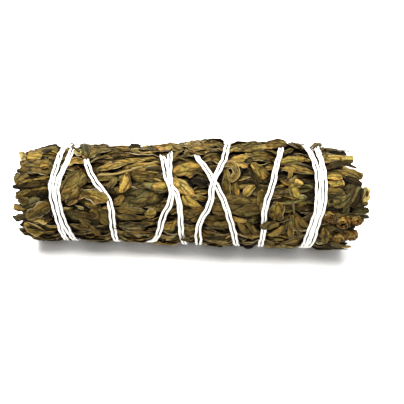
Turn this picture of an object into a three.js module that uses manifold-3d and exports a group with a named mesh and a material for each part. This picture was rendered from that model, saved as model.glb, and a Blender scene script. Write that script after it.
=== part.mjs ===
// A bundle of dried sage sprigs, lying down and bound with doubled cotton string.
// Millimetres. +X runs to the leaf tips, -Y faces the viewer, +Z is up, and the floor is z = 0.
// An angle round the bundle is in degrees: 0 in front, 90 on top, 180 behind, -90 underneath.

import * as THREE from "three";
import { mergeVertices } from "three/addons/utils/BufferGeometryUtils.js";
import Module from "manifold-3d";

const wasm = await Module();
wasm.setup();

const { clamp, degToRad, lerp, seededRandom, smoothstep } = THREE.MathUtils;

// Driving dimensions
const LENGTH = 102; // over the furthest leaf tips
const THIN_RADIUS = 14.0; // the bunch left of its middle
const THICK_RADIUS = 15.4; // and right of it
const SWELL = { from: -16, to: 8 }; // where it grows from thin to thick
const END_TAPER = { from: 38, to: 48, by: 0.8 };
const FLAT = 0.9; // how far the underside is pressed flat by its weight
const LAYER = 1.8; // the leaves stand this far out of the cores
const PROUD = 1.2; // the most that a bud or a curled leaf stands out of the bunch
const INNER_RADIUS = 7.2; // the ring between inner and outer sprigs
const OUTER_SPRIGS = 11;
const INNER_SPRIGS = 5;
const GAP = 0.3; // between two pieces
const LEAF_CLEARANCE = 0.36; // from a leaf to the seam beside it
const CORE_INSET = 0.45; // and from a core
const CORE_ENDS = { left: -45.5, right: 44.5 };
const END_POINT = { length: 2.6, scale: 0.4 }; // past the core's end, where it narrows
const SEAM_WAVE = { degrees: 5, pitch: 58, step: 1.7 };
const SEAM_SLANT = 7; // degrees that a seam leans over across the leaf layer
const STATION = 12; // between cross-sections of a core
const CLEANUP = 0.06; // triangles thinner than this are merged away

const STRAND = 0.96; // the string's thickness
const STRING_SEAT = 0.1; // how far the string's middle is pressed below the bunch's surface
const STRING_STEP = 360 / 13; // degrees between its cross-sections
const STRING_CLEARANCE = 0.2; // from the string to the floor
const CROSSING_LIFT = 1.05; // the upper pair rises this far over the lower one

const LEAF_THICKNESS = 0.8; // at the rib
const LEAF_PITCH = 8.6; // along a sprig
const LEAF_ROOTS = { first: -46, last: 40 };
const BACKWARD_LEAVES = 0.22; // the share that points away from the tips
const LEAF_SECTIONS = [
  { t: 0.27, width: 1.0 },
  { t: 0.7, width: 0.8 },
];

const LEAF_TONES = [0x63522a, 0x6f5b2e, 0x584a26, 0x7a6535, 0x66562f, 0x5d5029];
const LEAF_ROUGHNESS = 0.85;
const STRING_TONE = 0xe9e4da;
const STRING_ROUGHNESS = 0.9;

// The string is wound once towards the tips and once back. Each pass is a turn over the front,
// given as [x, angle] from behind down to below the front and on under the bunch. Passes 0 and 9
// make the left band, 4 and 5 the right one, and 9 ends at the knot behind, where 0 starts.
const WINDING = [
  [
    [-38, 160], [-38.6, 96], [-40, 55], [-39.7, 38], [-37.8, 1], [-37.1, -45], [-36.9, -90],
    [-36.4, -125], [-35.3, -155],
  ],
  [
    [-34, 175], [-33.2, 145], [-30.3, 82], [-27.8, 62], [-23.1, 33], [-22.4, -4], [-21.7, -45],
    [-21.1, -90], [-20, -120], [-17, -155],
  ],
  [
    [-13.8, 165], [-11, 130], [-8.3, 94], [-6.4, 59], [-3.6, 43], [-2.7, 11], [-1.5, -45],
    [-1.4, -90], [-1, -120], [0.2, -150],
  ],
  [
    [1.2, 175], [1.4, 130], [1.7, 89], [4.9, 69], [9.4, 38], [11.9, 12], [13.8, -26],
    [15.6, -60], [16.3, -90], [17, -120], [19.6, -150],
  ],
  [
    [26, 180], [31.5, 135], [34.4, 105], [36.1, 65], [36, 35], [34.6, 8], [33.2, -45],
    [33, -90], [33.1, -120], [34, -150],
  ],
  [
    [35.6, 180], [36.6, 140], [37.2, 96], [38.3, 60], [38, 35], [36.6, 8], [35.2, -45],
    [35.1, -90], [34.9, -120], [33.4, -150],
  ],
  [
    [30, 180], [27.2, 140], [25.8, 99], [23.8, 64], [21.6, 30], [21.3, -10], [21.1, -50],
    [21, -90], [20.8, -120], [19.4, -150],
  ],
  [
    [14, 170], [10.8, 126], [9.6, 86], [6.5, 56], [5.7, 35], [2.9, 9], [2.7, -45], [2.7, -90],
    [2.3, -120], [-0.2, -150],
  ],
  [
    [-4.4, 170], [-6.2, 130], [-6.4, 91], [-5.9, 60], [-5.6, 39], [-7.7, 17], [-9.2, -8],
    [-10.4, -26], [-12.9, -41], [-15.2, -58], [-16.4, -85], [-17, -115], [-19, -155],
  ],
  [
    [-25, 165], [-31, 135], [-34.6, 112], [-36.2, 85], [-38, 50], [-37.4, 31], [-35.6, 2],
    [-34.7, -45], [-34.5, -90], [-34.7, -120], [-35.8, -150], [-36.5, -192],
  ],
];
// Where the way back lies over the way out, as [turn, angle]
const CROSSINGS = [
  [5, -146], [6, 158], [6, -149], [7, 57], [7, -147], [8, 56], [8, -146], [9, 127], [9, -146],
];
const CROSSING_REACH = { full: 14, none: 37 }; // degrees either side
const KNOT = { x: -37.2, angle: 164, radius: 1.4, strand: 0.42, segments: 30 };
// The string's two ends, from the knot
const TAILS = [
  [[-37.2, 164], [-35.4, 172], [-34, 178], [-32.9, 186]],
  [[-37.2, 164], [-39.2, 170], [-41.3, 173], [-43.4, 171]],
];
const SLOT_HEIGHT = 3; // of the slot over the string's middle, past the furthest leaf

const PRESSED_SPOT = 9; // where the lowest core comes down to the floor
const SPOT_HALF_LENGTH = 4;

// Leaves that stand out from the rest in front, right, left and on top
const FEATURE_LEAVES = [
  { x: 24, angle: 74, length: 9, width: 4, heading: 62, lift: 1.0, roll: 25 },
  { x: 34, angle: 88, length: 7, width: 3.5, heading: 35, lift: 1.1, roll: -20 },
  { x: -30, angle: 66, length: 7, width: 6, heading: 95, lift: 0.9, roll: 10 },
  { x: -21, angle: 42, length: 16, width: 3.6, heading: 6, lift: 0.7, roll: 12 },
  { x: -19, angle: 12, length: 12, width: 7, heading: 4, lift: 0.7, roll: -6 },
  { x: 5, angle: 12, length: 14, width: 7, heading: 3, lift: 0.7, roll: 5 },
  { x: 17, angle: 32, length: 8, width: 5, heading: -80, lift: 0.9, roll: 15 },
  { x: 28, angle: 22, length: 13, width: 5, heading: -72, lift: 0.9, roll: 12 },
  { x: 40, angle: 58, length: 10.5, width: 5, heading: -4, lift: 0.9, roll: 30 },
  { x: 39, angle: 40, length: 11, width: 4.5, heading: -6, lift: 0.8, roll: -14 },
  { x: 44, angle: 26, length: 6.8, width: 5.5, heading: -12, lift: 0.8, roll: 30 },
  { x: -48, angle: 58, length: 8, width: 6, heading: -10, lift: 0.6, roll: 12 },
  { x: -50.5, angle: 22, length: 9, width: 5, heading: 8, lift: 0.6, roll: -14 },
];
const FLOWER_BUDS = [
  { x: 41.6, angle: 12 },
  { x: 45.4, angle: 12 },
  { x: 49, angle: 12 },
  { x: 47, angle: 4.5 },
  { x: 43, angle: 4.5 },
];
const BUD_RADIUS = 1.9;

function bunchRadius(x) {
  const swell = lerp(THIN_RADIUS, THICK_RADIUS, smoothstep(x, SWELL.from, SWELL.to));
  return swell - END_TAPER.by * smoothstep(Math.abs(x), END_TAPER.from, END_TAPER.to);
}

function axisHeight(x) {
  return lerp(THIN_RADIUS, THICK_RADIUS, smoothstep(x, SWELL.from, SWELL.to)) - FLAT;
}

// How far the bunch reaches from its axis at this angle, with its underside kept above a height
function reach(x, angle, height = 0) {
  const down = -Math.sin(degToRad(angle));
  const toFloor = down > 0 ? (axisHeight(x) - height) / down : Infinity;
  return Math.min(bunchRadius(x), toFloor);
}

function at(x, angle, radius) {
  const turn = degToRad(angle);
  return new THREE.Vector3(x, -radius * Math.cos(turn), axisHeight(x) + radius * Math.sin(turn));
}

function degreesFor(distance, radius) {
  return THREE.MathUtils.radToDeg(distance / radius);
}

function draw(low, high) {
  return lerp(low, high, seededRandom());
}

// A closed surface through rings of points. A ring of one point is a tip, and the others have
// the same number of points; an end ring is capped by a fan from its first point.
function loft(rings) {
  const positions = [];
  const triangles = [];
  const starts = [];
  for (const ring of rings) {
    starts.push(positions.length / 3);
    ring.forEach((p) => positions.push(p.x, p.y, p.z));
  }
  for (let i = 0; i + 1 < rings.length; i++) {
    const count = Math.max(rings[i].length, rings[i + 1].length);
    for (let j = 0; j < count; j++) {
      const next = (j + 1) % count;
      const a = starts[i] + (rings[i].length > 1 ? j : 0);
      const b = starts[i] + (rings[i].length > 1 ? next : 0);
      const c = starts[i + 1] + (rings[i + 1].length > 1 ? j : 0);
      const d = starts[i + 1] + (rings[i + 1].length > 1 ? next : 0);
      if (a !== b) triangles.push(a, b, d);
      if (c !== d) triangles.push(a, d, c);
    }
  }
  const last = starts[rings.length - 1];
  for (let j = 1; j + 1 < rings[0].length; j++) triangles.push(0, j + 1, j);
  for (let j = 1; j + 1 < rings[rings.length - 1].length; j++) triangles.push(last, last + j, last + j + 1);
  const geometry = new THREE.BufferGeometry();
  geometry.setAttribute("position", new THREE.Float32BufferAttribute(positions, 3));
  geometry.setIndex(triangles);
  return geometry;
}

function signedVolume(geometry) {
  const points = geometry.getAttribute("position");
  const corners = geometry.getIndex().array;
  const [a, b, c] = [new THREE.Vector3(), new THREE.Vector3(), new THREE.Vector3()];
  let volume = 0;
  for (let i = 0; i < corners.length; i += 3) {
    a.fromBufferAttribute(points, corners[i]);
    b.fromBufferAttribute(points, corners[i + 1]);
    c.fromBufferAttribute(points, corners[i + 2]);
    volume += a.dot(b.cross(c)) / 6;
  }
  return volume;
}

// The solid inside an indexed geometry whose vertices are already shared
function solidOf(geometry) {
  const triVerts = new Uint32Array(geometry.getIndex().array);
  if (signedVolume(geometry) < 0) triVerts.reverse();
  const vertProperties = new Float32Array(geometry.getAttribute("position").array);
  return new wasm.Manifold(new wasm.Mesh({ numProp: 3, vertProperties, triVerts }));
}

// The largest body of a solid: loose scraps go, and hollows sealed inside it are filled
function largestBody(solid) {
  const bodies = solid.simplify(CLEANUP).decompose();
  return bodies.reduce((best, body) => (body.volume() > best.volume() ? body : best));
}

function namedMesh(name, solid, tone, roughness) {
  const { vertProperties, triVerts } = solid.getMesh();
  const geometry = new THREE.BufferGeometry();
  geometry.setAttribute("position", new THREE.BufferAttribute(vertProperties, 3));
  geometry.setIndex(new THREE.BufferAttribute(triVerts, 1));
  geometry.computeVertexNormals();
  const material = new THREE.MeshStandardMaterial({ color: tone, roughness, metalness: 0 });
  const mesh = new THREE.Mesh(geometry, material);
  mesh.name = name;
  return mesh;
}

function stations(from, to, step) {
  const count = Math.round((to - from) / step);
  return Array.from({ length: count + 1 }, (_, i) => lerp(from, to, i / count));
}

// The angle of the seam before outer sprig k, which waves along the bunch. Sprig 0 lies underneath.
function outerSeam(k, x) {
  const phase = (2 * Math.PI * x) / SEAM_WAVE.pitch + SEAM_WAVE.step * (k % OUTER_SPRIGS);
  return -90 + (360 / OUTER_SPRIGS) * (k - 0.5) + SEAM_WAVE.degrees * Math.sin(phase);
}

function innerSeam(k, x) {
  const phase = (2 * Math.PI * x) / SEAM_WAVE.pitch + SEAM_WAVE.step * (k % INNER_SPRIGS);
  return (360 / INNER_SPRIGS) * k + SEAM_WAVE.degrees * Math.sin(phase);
}

// The room of outer sprig k and of inner sprig k: its lowest and highest angle and radius at x.
// An outer seam leans over where it passes through the leaf layer.
function outerRoom(k, x, radius) {
  const slant = SEAM_SLANT * clamp((radius - bunchRadius(x)) / LAYER + 1, 0, 1);
  const margin = degreesFor(LEAF_CLEARANCE, radius);
  return {
    angles: [outerSeam(k, x) + slant + margin, outerSeam(k + 1, x) + slant - margin],
    radii: [INNER_RADIUS + LEAF_CLEARANCE, bunchRadius(x) + PROUD],
  };
}

function innerRoom(k, x, radius) {
  const margin = degreesFor(LEAF_CLEARANCE, radius);
  return {
    angles: [innerSeam(k, x) + margin, innerSeam(k + 1, x) - margin],
    radii: [INNER_RADIUS / 4, INNER_RADIUS - LEAF_CLEARANCE],
  };
}

// One cross-section of an outer sprig's core. Its first point is the middle of the inner arc,
// from where every other point can be seen.
function outerSection(k, x) {
  const inner = INNER_RADIUS + GAP / 2;
  const layer = bunchRadius(x) - LAYER;
  const seam = (next, radius) => outerSeam(k + next, x) + (next ? -1 : 1) * degreesFor(CORE_INSET, radius);
  const outer = [3, 2, 1, 0].map((i) => {
    const angle = lerp(seam(0, layer), seam(1, layer), i / 3);
    return at(x, angle, coreRadius(x, angle));
  });
  const middle = at(x, (seam(0, inner) + seam(1, inner)) / 2, inner);
  return [middle, at(x, seam(1, inner), inner), ...outer, at(x, seam(0, inner), inner)];
}

function isPressed(x, angle) {
  return Math.abs(x - PRESSED_SPOT) < SPOT_HALF_LENGTH && Math.abs(angle + 90) < 180 / OUTER_SPRIGS;
}

// A core comes down to the floor at the pressed spot
function coreRadius(x, angle) {
  if (isPressed(x, angle)) return reach(x, angle, -GAP);
  const ripple = 0.2 * Math.sin(1.1 * x + 0.35 * angle);
  return reach(x, angle) - LAYER + ripple;
}

// Sections with a smaller one before the first and after the last, so that a sprig's ends taper
function pointed(sections) {
  const shrunk = (section, forward) => {
    const middle = section.reduce((sum, p) => sum.add(p), new THREE.Vector3()).divideScalar(section.length);
    const shift = new THREE.Vector3(forward * END_POINT.length, 0, 0);
    return section.map((p) => p.clone().lerp(middle, 1 - END_POINT.scale).add(shift));
  };
  return [shrunk(sections[0], -1), ...sections, shrunk(sections[sections.length - 1], 1)];
}

function outerCore(k) {
  const along = stations(CORE_ENDS.left, CORE_ENDS.right, STATION);
  if (k === 0) {
    const [rim, foot] = [SPOT_HALF_LENGTH + 1, SPOT_HALF_LENGTH - 0.1];
    along.push(...[-rim, -foot, foot, rim].map((offset) => PRESSED_SPOT + offset));
    along.sort((a, b) => a - b);
  }
  return loft(pointed(along.map((x) => outerSection(k, x))));
}

// A wedge of the inside of the bunch, from near its axis to the ring
function innerCore(k) {
  const outer = INNER_RADIUS - CORE_INSET;
  const tip = CORE_INSET / Math.sin(degToRad(180 / INNER_SPRIGS));
  const section = (x) => {
    const from = innerSeam(k, x) + degreesFor(CORE_INSET, outer);
    const to = innerSeam(k + 1, x) - degreesFor(CORE_INSET, outer);
    const arc = [3, 2, 1, 0].map((i) => at(x, lerp(from, to, i / 3), outer));
    return [at(x, (from + to) / 2, tip), ...arc];
  };
  return loft(pointed(stations(CORE_ENDS.left, CORE_ENDS.right, 2 * STATION).map(section)));
}

// A leaf blade from its root to its tip: diamond sections along a path that bends with the
// bunch. heading turns it from +X towards the top, roll tips it sideways, arch bows it outwards
// and fold lifts both its edges. surface gives the radius that depth and lift are counted from,
// and a point that would leave the sprig's room is bent back into it.
function blade({ x, angle, length, width, heading, depth, lift, roll, arch, fold }, surface, room) {
  const along = Math.cos(degToRad(heading));
  const round = Math.sin(degToRad(heading));
  const lean = Math.sin(degToRad(roll));
  const place = (t, sideways, out) => {
    const px = clamp(x + along * length * t - round * sideways, -LENGTH / 2, LENGTH / 2);
    const height = lerp(depth, lift, t ** 0.7) + arch * Math.sin(Math.PI * t) + out;
    const around = round * length * t + along * sideways;
    const turned = angle + degreesFor(around, surface(px, angle));
    const free = surface(px, turned) + height + sideways * lean;
    const radius = clamp(free, ...room(px, free).radii);
    return { x: px, angle: clamp(turned, ...room(px, radius).angles), radius };
  };
  const tip = (t) => {
    const end = place(t, 0, 0);
    return [at(end.x, end.angle, end.radius)];
  };
  const rings = LEAF_SECTIONS.map(({ t, width: share }) => {
    const half = (share * width) / 2;
    const [left, right] = [place(t, -half, fold * half), place(t, half, fold * half)];
    const [top, bottom] = [LEAF_THICKNESS / 2, -LEAF_THICKNESS / 2].map((out) => place(t, 0, out));
    const rib = (left.angle + right.angle) / 2;
    return [
      at(left.x, left.angle, left.radius),
      at(top.x, rib, top.radius),
      at(right.x, right.angle, right.radius),
      at(bottom.x, rib, bottom.radius),
    ];
  });
  return loft([tip(0), ...rings, tip(1)]);
}

// The leaves over an outer sprig: two rows that overlap like scales, mostly towards the tips
function surfaceLeaves(k) {
  const leaves = [];
  const places = stations(LEAF_ROOTS.first, LEAF_ROOTS.last, LEAF_PITCH);
  places.forEach((place, i) => {
    const backwards = seededRandom() < BACKWARD_LEAVES;
    const middle = (outerSeam(k, place) + outerSeam(k + 1, place)) / 2;
    const side = i % 2 ? 1 : -1;
    leaves.push({
      x: place + draw(-1, 1) + (backwards ? LEAF_PITCH : 0),
      angle: middle + side * draw(4, 8) + SEAM_SLANT / 2,
      length: draw(14, 18.5),
      width: draw(5.4, 7.2),
      heading: draw(-22, 22) + (backwards ? 180 : 0),
      depth: -LAYER - 0.3,
      lift: draw(-0.1, 0.8),
      roll: draw(-20, 20),
      arch: draw(0.3, 0.7),
      fold: draw(-0.1, 0.3),
    });
  });
  return leaves;
}

// Leaves that close an end of a sprig, from its core out to the ragged end of the bunch
function endLeaves(seams, radii, sign, count) {
  return Array.from({ length: count }, (_, i) => {
    const end = sign > 0 ? CORE_ENDS.right : CORE_ENDS.left;
    return {
      radius: draw(...radii),
      x: end - sign * 2.5,
      angle: lerp(...seams, (i + draw(0.3, 0.7)) / count),
      length: draw(4.8, 7.8),
      width: draw(4.2, 6.2),
      heading: (sign > 0 ? 0 : 180) + draw(-12, 12),
      depth: 0,
      lift: draw(-0.4, 0.2),
      roll: draw(-50, 50),
      arch: 0,
      fold: draw(0, 0.35),
    };
  });
}

function endBlades(leaves, room) {
  return leaves.map((leaf) => solidOf(blade(leaf, () => leaf.radius, room)));
}

// The cut end of a sprig's stem, six-sided, which stands a little out of the left end
function cutStem(angle, radius) {
  const thickness = draw(0.9, 1.2);
  const end = draw(-50.2, -48.4);
  const ring = (x) => {
    const middle = at(x, angle, radius);
    return Array.from({ length: 6 }, (_, i) => {
      const turn = degToRad(60 * i);
      const across = thickness * Math.cos(turn);
      return middle.clone().add(new THREE.Vector3(0.3 * across, across, thickness * Math.sin(turn)));
    });
  };
  return solidOf(loft([ring(CORE_ENDS.left + 4), ring(end)]));
}

// A three.js solid moved to a place on the bunch, its middle this far out of the surface
function solidAt(geometry, { x, angle }, out) {
  geometry.deleteAttribute("normal");
  geometry.deleteAttribute("uv");
  const middle = at(x, angle, reach(x, angle) + out);
  geometry.translate(middle.x, middle.y, middle.z);
  return solidOf(mergeVertices(geometry));
}

function flowerBud(place) {
  return solidAt(new THREE.IcosahedronGeometry(BUD_RADIUS, 0), place, -0.6 * BUD_RADIUS);
}

// Which outer sprig a place on the surface belongs to
function sprigAt(x, angle) {
  for (let k = 0; k < OUTER_SPRIGS; k++) {
    const from = outerSeam(k, x) + SEAM_SLANT / 2;
    const turned = THREE.MathUtils.euclideanModulo(angle - from, 360);
    if (turned < outerSeam(k + 1, x) - outerSeam(k, x)) return k;
  }
  return 0;
}

function outerSprig(k, slots) {
  const room = (x, radius) => outerRoom(k, x, radius);
  const seams = [outerSeam(k, 0), outerSeam(k + 1, 0)];
  const radii = [INNER_RADIUS + 1.6, THIN_RADIUS - 1];
  const features = FEATURE_LEAVES.filter(({ x, angle }) => sprigAt(x, angle) === k).map((leaf) => ({
    depth: -LAYER - 0.2,
    arch: 0.35,
    fold: 0.2,
    ...leaf,
  }));
  const buds = FLOWER_BUDS.filter(({ x, angle }) => sprigAt(x, angle) === k);
  const whole = wasm.Manifold.union([
    solidOf(outerCore(k)),
    ...[...surfaceLeaves(k), ...features].map((leaf) => solidOf(blade(leaf, reach, room))),
    ...endBlades(endLeaves(seams, radii, 1, 3), room),
    ...endBlades(endLeaves(seams, radii, -1, 2), room),
    ...buds.map(flowerBud),
    cutStem((seams[0] + seams[1]) / 2, (radii[0] + radii[1]) / 2),
  ]);
  return largestBody(whole.subtract(slots).trimByPlane([0, 0, 1], 0));
}

function innerSprig(k) {
  const room = (x, radius) => innerRoom(k, x, radius);
  const seams = [innerSeam(k, 0), innerSeam(k + 1, 0)];
  const radii = [INNER_RADIUS / 3, INNER_RADIUS - 1.2];
  return largestBody(
    wasm.Manifold.union([
      solidOf(innerCore(k)),
      ...endBlades(endLeaves(seams, radii, 1, 2), room),
      ...endBlades(endLeaves(seams, radii, -1, 2), room),
      cutStem((seams[0] + seams[1]) / 2, INNER_RADIUS / 2),
    ]),
  );
}

// Degrees wound from the front of turn 0, where the angle counts down by 360 a turn
function woundTo([turn, angle]) {
  return 360 * turn - angle;
}

// How far the string is lifted over the pair below it
function liftAt(wound) {
  const nearest = Math.min(...CROSSINGS.map((crossing) => Math.abs(woundTo(crossing) - wound)));
  return CROSSING_LIFT * (1 - smoothstep(nearest, CROSSING_REACH.full, CROSSING_REACH.none));
}

// The middle of the string pair along its route, sampled evenly, with the angle as it was wound
function stringRoute() {
  const places = WINDING.flatMap((pass, turn) => pass.map(([x, angle]) => [x, woundTo([turn, angle])]));
  const flat = places.map(([x, wound]) => new THREE.Vector3(x, degToRad(wound) * THICK_RADIUS, 0));
  const curve = new THREE.CatmullRomCurve3(flat, false, "centripetal");
  const steps = Math.round((places[places.length - 1][1] - places[0][1]) / STRING_STEP);
  return curve.getSpacedPoints(steps).map((p) => ({ x: p.x, angle: -degreesFor(p.y, THICK_RADIUS) }));
}

function stringRadius(x, angle) {
  return Math.min(reach(x, angle) - STRING_SEAT, reach(x, angle, STRAND / 2 + STRING_CLEARANCE));
}

// Cross-sections along a route on the bunch, from an outline of [sideways, outwards] points
function sectionsAlong(route, outline, lift) {
  const middles = route.map(({ x, angle }) => at(x, angle, stringRadius(x, angle) + lift(-angle)));
  return route.map(({ angle }, i) => {
    const before = middles[Math.max(i - 1, 0)];
    const after = middles[Math.min(i + 1, middles.length - 1)];
    const outwards = new THREE.Vector3(0, -Math.cos(degToRad(angle)), Math.sin(degToRad(angle)));
    const sideways = after.clone().sub(before).cross(outwards).normalize();
    const upright = sideways.clone().cross(after.clone().sub(before)).normalize();
    return outline.map(([across, out]) => {
      return middles[i].clone().addScaledVector(sideways, across).addScaledVector(upright, out);
    });
  });
}

// Two strands side by side, with the hollow between them; the first point lies in that hollow
function pairOutline() {
  const half = STRAND / 2;
  const strand = (sign, turns) => turns.map((turn) => {
    return [sign * (half + half * Math.cos(degToRad(turn))), half * Math.sin(degToRad(turn))];
  });
  const right = strand(1, [90, 0, -90]);
  const left = strand(-1, [-90, 0, 90]);
  return [[0, half / 2], ...right, [0, -half / 2], ...left];
}

function strandOutline(radius) {
  return Array.from({ length: 6 }, (_, i) => {
    const turn = degToRad(60 * i);
    return [radius * Math.cos(turn), radius * Math.sin(turn)];
  });
}

// A slot through the leaves that leaves the string clear, from below it out into the open
function slotOutline(halfWidth) {
  const floor = -STRAND / 2 - GAP;
  return [[-halfWidth, floor], [halfWidth, floor], [halfWidth, SLOT_HEIGHT], [-halfWidth, SLOT_HEIGHT]];
}

// A long winding is joined from single turns, so that none of them overlaps itself
function swept(route, outline, lift) {
  const sections = sectionsAlong(route, outline, lift);
  const turn = Math.round(360 / STRING_STEP);
  const turns = [];
  for (let i = 0; i + 1 < sections.length; i += turn) {
    turns.push(solidOf(loft(sections.slice(i, i + turn + 1))));
  }
  return wasm.Manifold.union(turns);
}

function tailSweeps(outline) {
  return TAILS.map((tail) => swept(tail.map(([x, angle]) => ({ x, angle })), outline, () => 0));
}

function knot() {
  const geometry = new THREE.TorusKnotGeometry(KNOT.radius, KNOT.strand, KNOT.segments, 5, 2, 3);
  geometry.rotateX(Math.PI - degToRad(KNOT.angle));
  return solidAt(geometry, KNOT, STRAND);
}

function cottonString() {
  const winding = swept(stringRoute(), pairOutline(), liftAt);
  return largestBody(wasm.Manifold.union([winding, ...tailSweeps(strandOutline(STRAND / 2)), knot()]));
}

function stringSlots() {
  const winding = swept(stringRoute(), slotOutline(STRAND + GAP), () => 0);
  const aroundKnot = solidAt(new THREE.IcosahedronGeometry(2 * KNOT.radius + GAP, 1), KNOT, 2 * STRAND);
  return wasm.Manifold.union([winding, ...tailSweeps(slotOutline(STRAND / 2 + GAP)), aroundKnot]);
}

const slots = stringSlots();
const bunch = new THREE.Group();
for (let k = 0; k < OUTER_SPRIGS; k++) {
  seededRandom(101 + k);
  const name = `outer_sprig_${String(k + 1).padStart(2, "0")}`;
  bunch.add(namedMesh(name, outerSprig(k, slots), LEAF_TONES[k % LEAF_TONES.length], LEAF_ROUGHNESS));
}
for (let k = 0; k < INNER_SPRIGS; k++) {
  seededRandom(201 + k);
  bunch.add(namedMesh(`inner_sprig_${k + 1}`, innerSprig(k), LEAF_TONES[k], LEAF_ROUGHNESS));
}
bunch.add(namedMesh("cotton_string", cottonString(), STRING_TONE, STRING_ROUGHNESS));

export default bunch;
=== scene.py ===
"""A dried sage bunch, bound with doubled white cotton string, on a pale floor.

Lengths are in millimetres up to where a mesh is made. A place on the bunch is (x, angle, radius):
x along it, the angle round it in degrees (0 at the front, 90 on top, -90 underneath) and the radius
from its axis. A leaf has a heading: 0 points its tip along +x, 90 up over the top.
"""

import bpy
import numpy as np
from mathutils import Matrix


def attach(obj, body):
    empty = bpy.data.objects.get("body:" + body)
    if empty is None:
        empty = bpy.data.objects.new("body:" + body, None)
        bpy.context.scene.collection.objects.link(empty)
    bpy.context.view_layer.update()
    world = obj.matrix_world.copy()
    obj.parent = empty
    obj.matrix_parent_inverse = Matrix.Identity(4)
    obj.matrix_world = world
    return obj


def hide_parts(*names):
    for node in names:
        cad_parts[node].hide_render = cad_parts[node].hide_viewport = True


MM = 0.001

# The bunch's form: thin at the cut stems, thick at the leaf tips and flat underneath
THIN_RADIUS = 14.0
THICK_RADIUS = 15.4
SWELL = (-16, 8)
END_TAPER = (38, 48)
END_TAPER_BY = 0.8
FLAT = 0.9
# A degree round the bunch, in millimetres
DEGREE = 0.27

# A ring of sprigs round the inner ones; their seams sway by so many degrees, over a wave of this
# length, with this step from one seam to the next
OUTER_SPRIGS = 11
INNER_SPRIGS = 5
INNER_RADIUS = 7.2
SEAM_WAVE = (5, 58, 1.7)
GAP = 0.3

# The inside of the sprigs, painted near-black as the shade under the leaves: its ends, its depth under the
# leaves and where its ends round off
CORE_ENDS = (-43.5, 40.5)
CORE_DEPTH = 2.6
INNER_CORE_RADIUS = 0.5
INNER_CORE_DEPTH = 8.2
CORE_ROUNDED = (41, 45)
CORE_SHADE_COLOUR = (0.02, 0.014, 0.008)

# The string: a strand's room in the winding, a strand pulled tight, and the gap to the other one
STRAND = 0.96
STRAND_SEEN = 0.70
STRAND_GAP = 0.21
STRING_SEAT = 0.1
STRING_CLEARANCE = 0.2
STRING_STEP = 0.4
CROSSING_LIFT = 1.05
CROSSING_REACH = (14, 37)
PLY_PITCH = 3.4
PLY_DEPTH = 0.06
COTTON = (0.80, 0.77, 0.70)
FIBRES = 1500
FIBRE_RADIUS = 0.022
FIBRE_COLOUR = (0.82, 0.80, 0.75)

# The string presses leaves down between these distances from it, and leaves give by this share
STRING_PRESS = 0.95
PRESS_REACH = (1.15, 2.9)
PRESS_GIVE = 0.75

# How far leaves may stand over the bunch's form: all of them, and more for some kinds
PROUD = 0.7
TOLD_RISE = 0.3
OVER_RISE = 0.9
FREE_RISE = 6
RISE_LEFT = 0.35
LEAF_THICKNESS = 0.16

# Points along and across a leaf
TOLD_GRID = (27, 15)
BROAD_GRID = (21, 11)
MIDDLING_GRID = (19, 9)
COVER_GRID = (17, 9)
NARROW_GRID = (15, 7)
DEEP_GRID = (13, 7)
END_GRID = (11, 7)
# Edges sharper than this many degrees stay sharp
SHARP_FROM = 62

# How many leaves each sprig has: in its layers from the deepest out, and at each of its ends
DEEP, BROAD, MIDDLING, NARROW = 40, 36, 74, 52
OUTER_END_LEAVES = 42
INNER_END_LEAVES = 26
# The middles of the layers' leaves lie between these x; this share of the leaves is turned round
LAYERS_FROM, LAYERS_TO = -46.5, 46.5
TURNED_ROUND = 0.25
# First numbers of the random draws
OUTER_SEED, INNER_SEED, COVER_SEED, FLOWER_SEED, FUZZ_SEED = 300, 400, 500, 900, 77

# How far each end reaches, as (angle, x), and the middle of the ends
ENDS = {
    -1: [(-90, -47.5), (-40, -47.5), (-15, -49.6), (5, -50.8), (22, -51), (29, -49.4), (38, -50.8),
         (45, -50), (54, -51.2), (63, -50.3), (76, -49.6), (90, -50.2), (105, -49.3), (120, -48.2),
         (180, -49.5), (270, -47.5)],
    1: [(-90, 47.5), (-28, 47.4), (0, 48), (8, 47.4), (14, 49.8), (30, 50.8), (55, 50.4), (62, 48.4),
        (70, 48), (78, 46.6), (84, 44.8), (92, 44.6), (110, 44.2), (150, 44.8), (190, 47.5), (230, 49),
        (270, 47.5)],
}
INNER_END = 47.2
END_DEPTH = 3.5
# Leaves of the ends within the first radius reach that middle, and none beyond the second; those
# nearer the axis than this aren't wrapped round the bunch
INNER_TO_OUTER = (7, 13)
INSIDE_RADIUS = 12

# Where the string lies deeper, under leaves, and where the leaves lie lower than the round form:
# x, angle, half widths and depth
TUCKED = [(-9, 126, 8, 20, 0.7), (2, 118, 5, 22, 0.7), (-30, 120, 5, 22, 0.6)]
HOLLOWS = [(-47, 128, 4.5, 30, 0.9), (37, 128, 5, 30, 1.3), (45, 118, 5, 40, 1.4)]

# The picture was taken from this far off and this high up; its middle lies off the bunch's middle
PICTURE_SIDE = 404
LENS, SENSOR = 80.5, 36
DISTANCE = 273
ELEVATION = 45
ROLL = 1.5
MIDDLE_SEEN = (191, 194)

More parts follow.
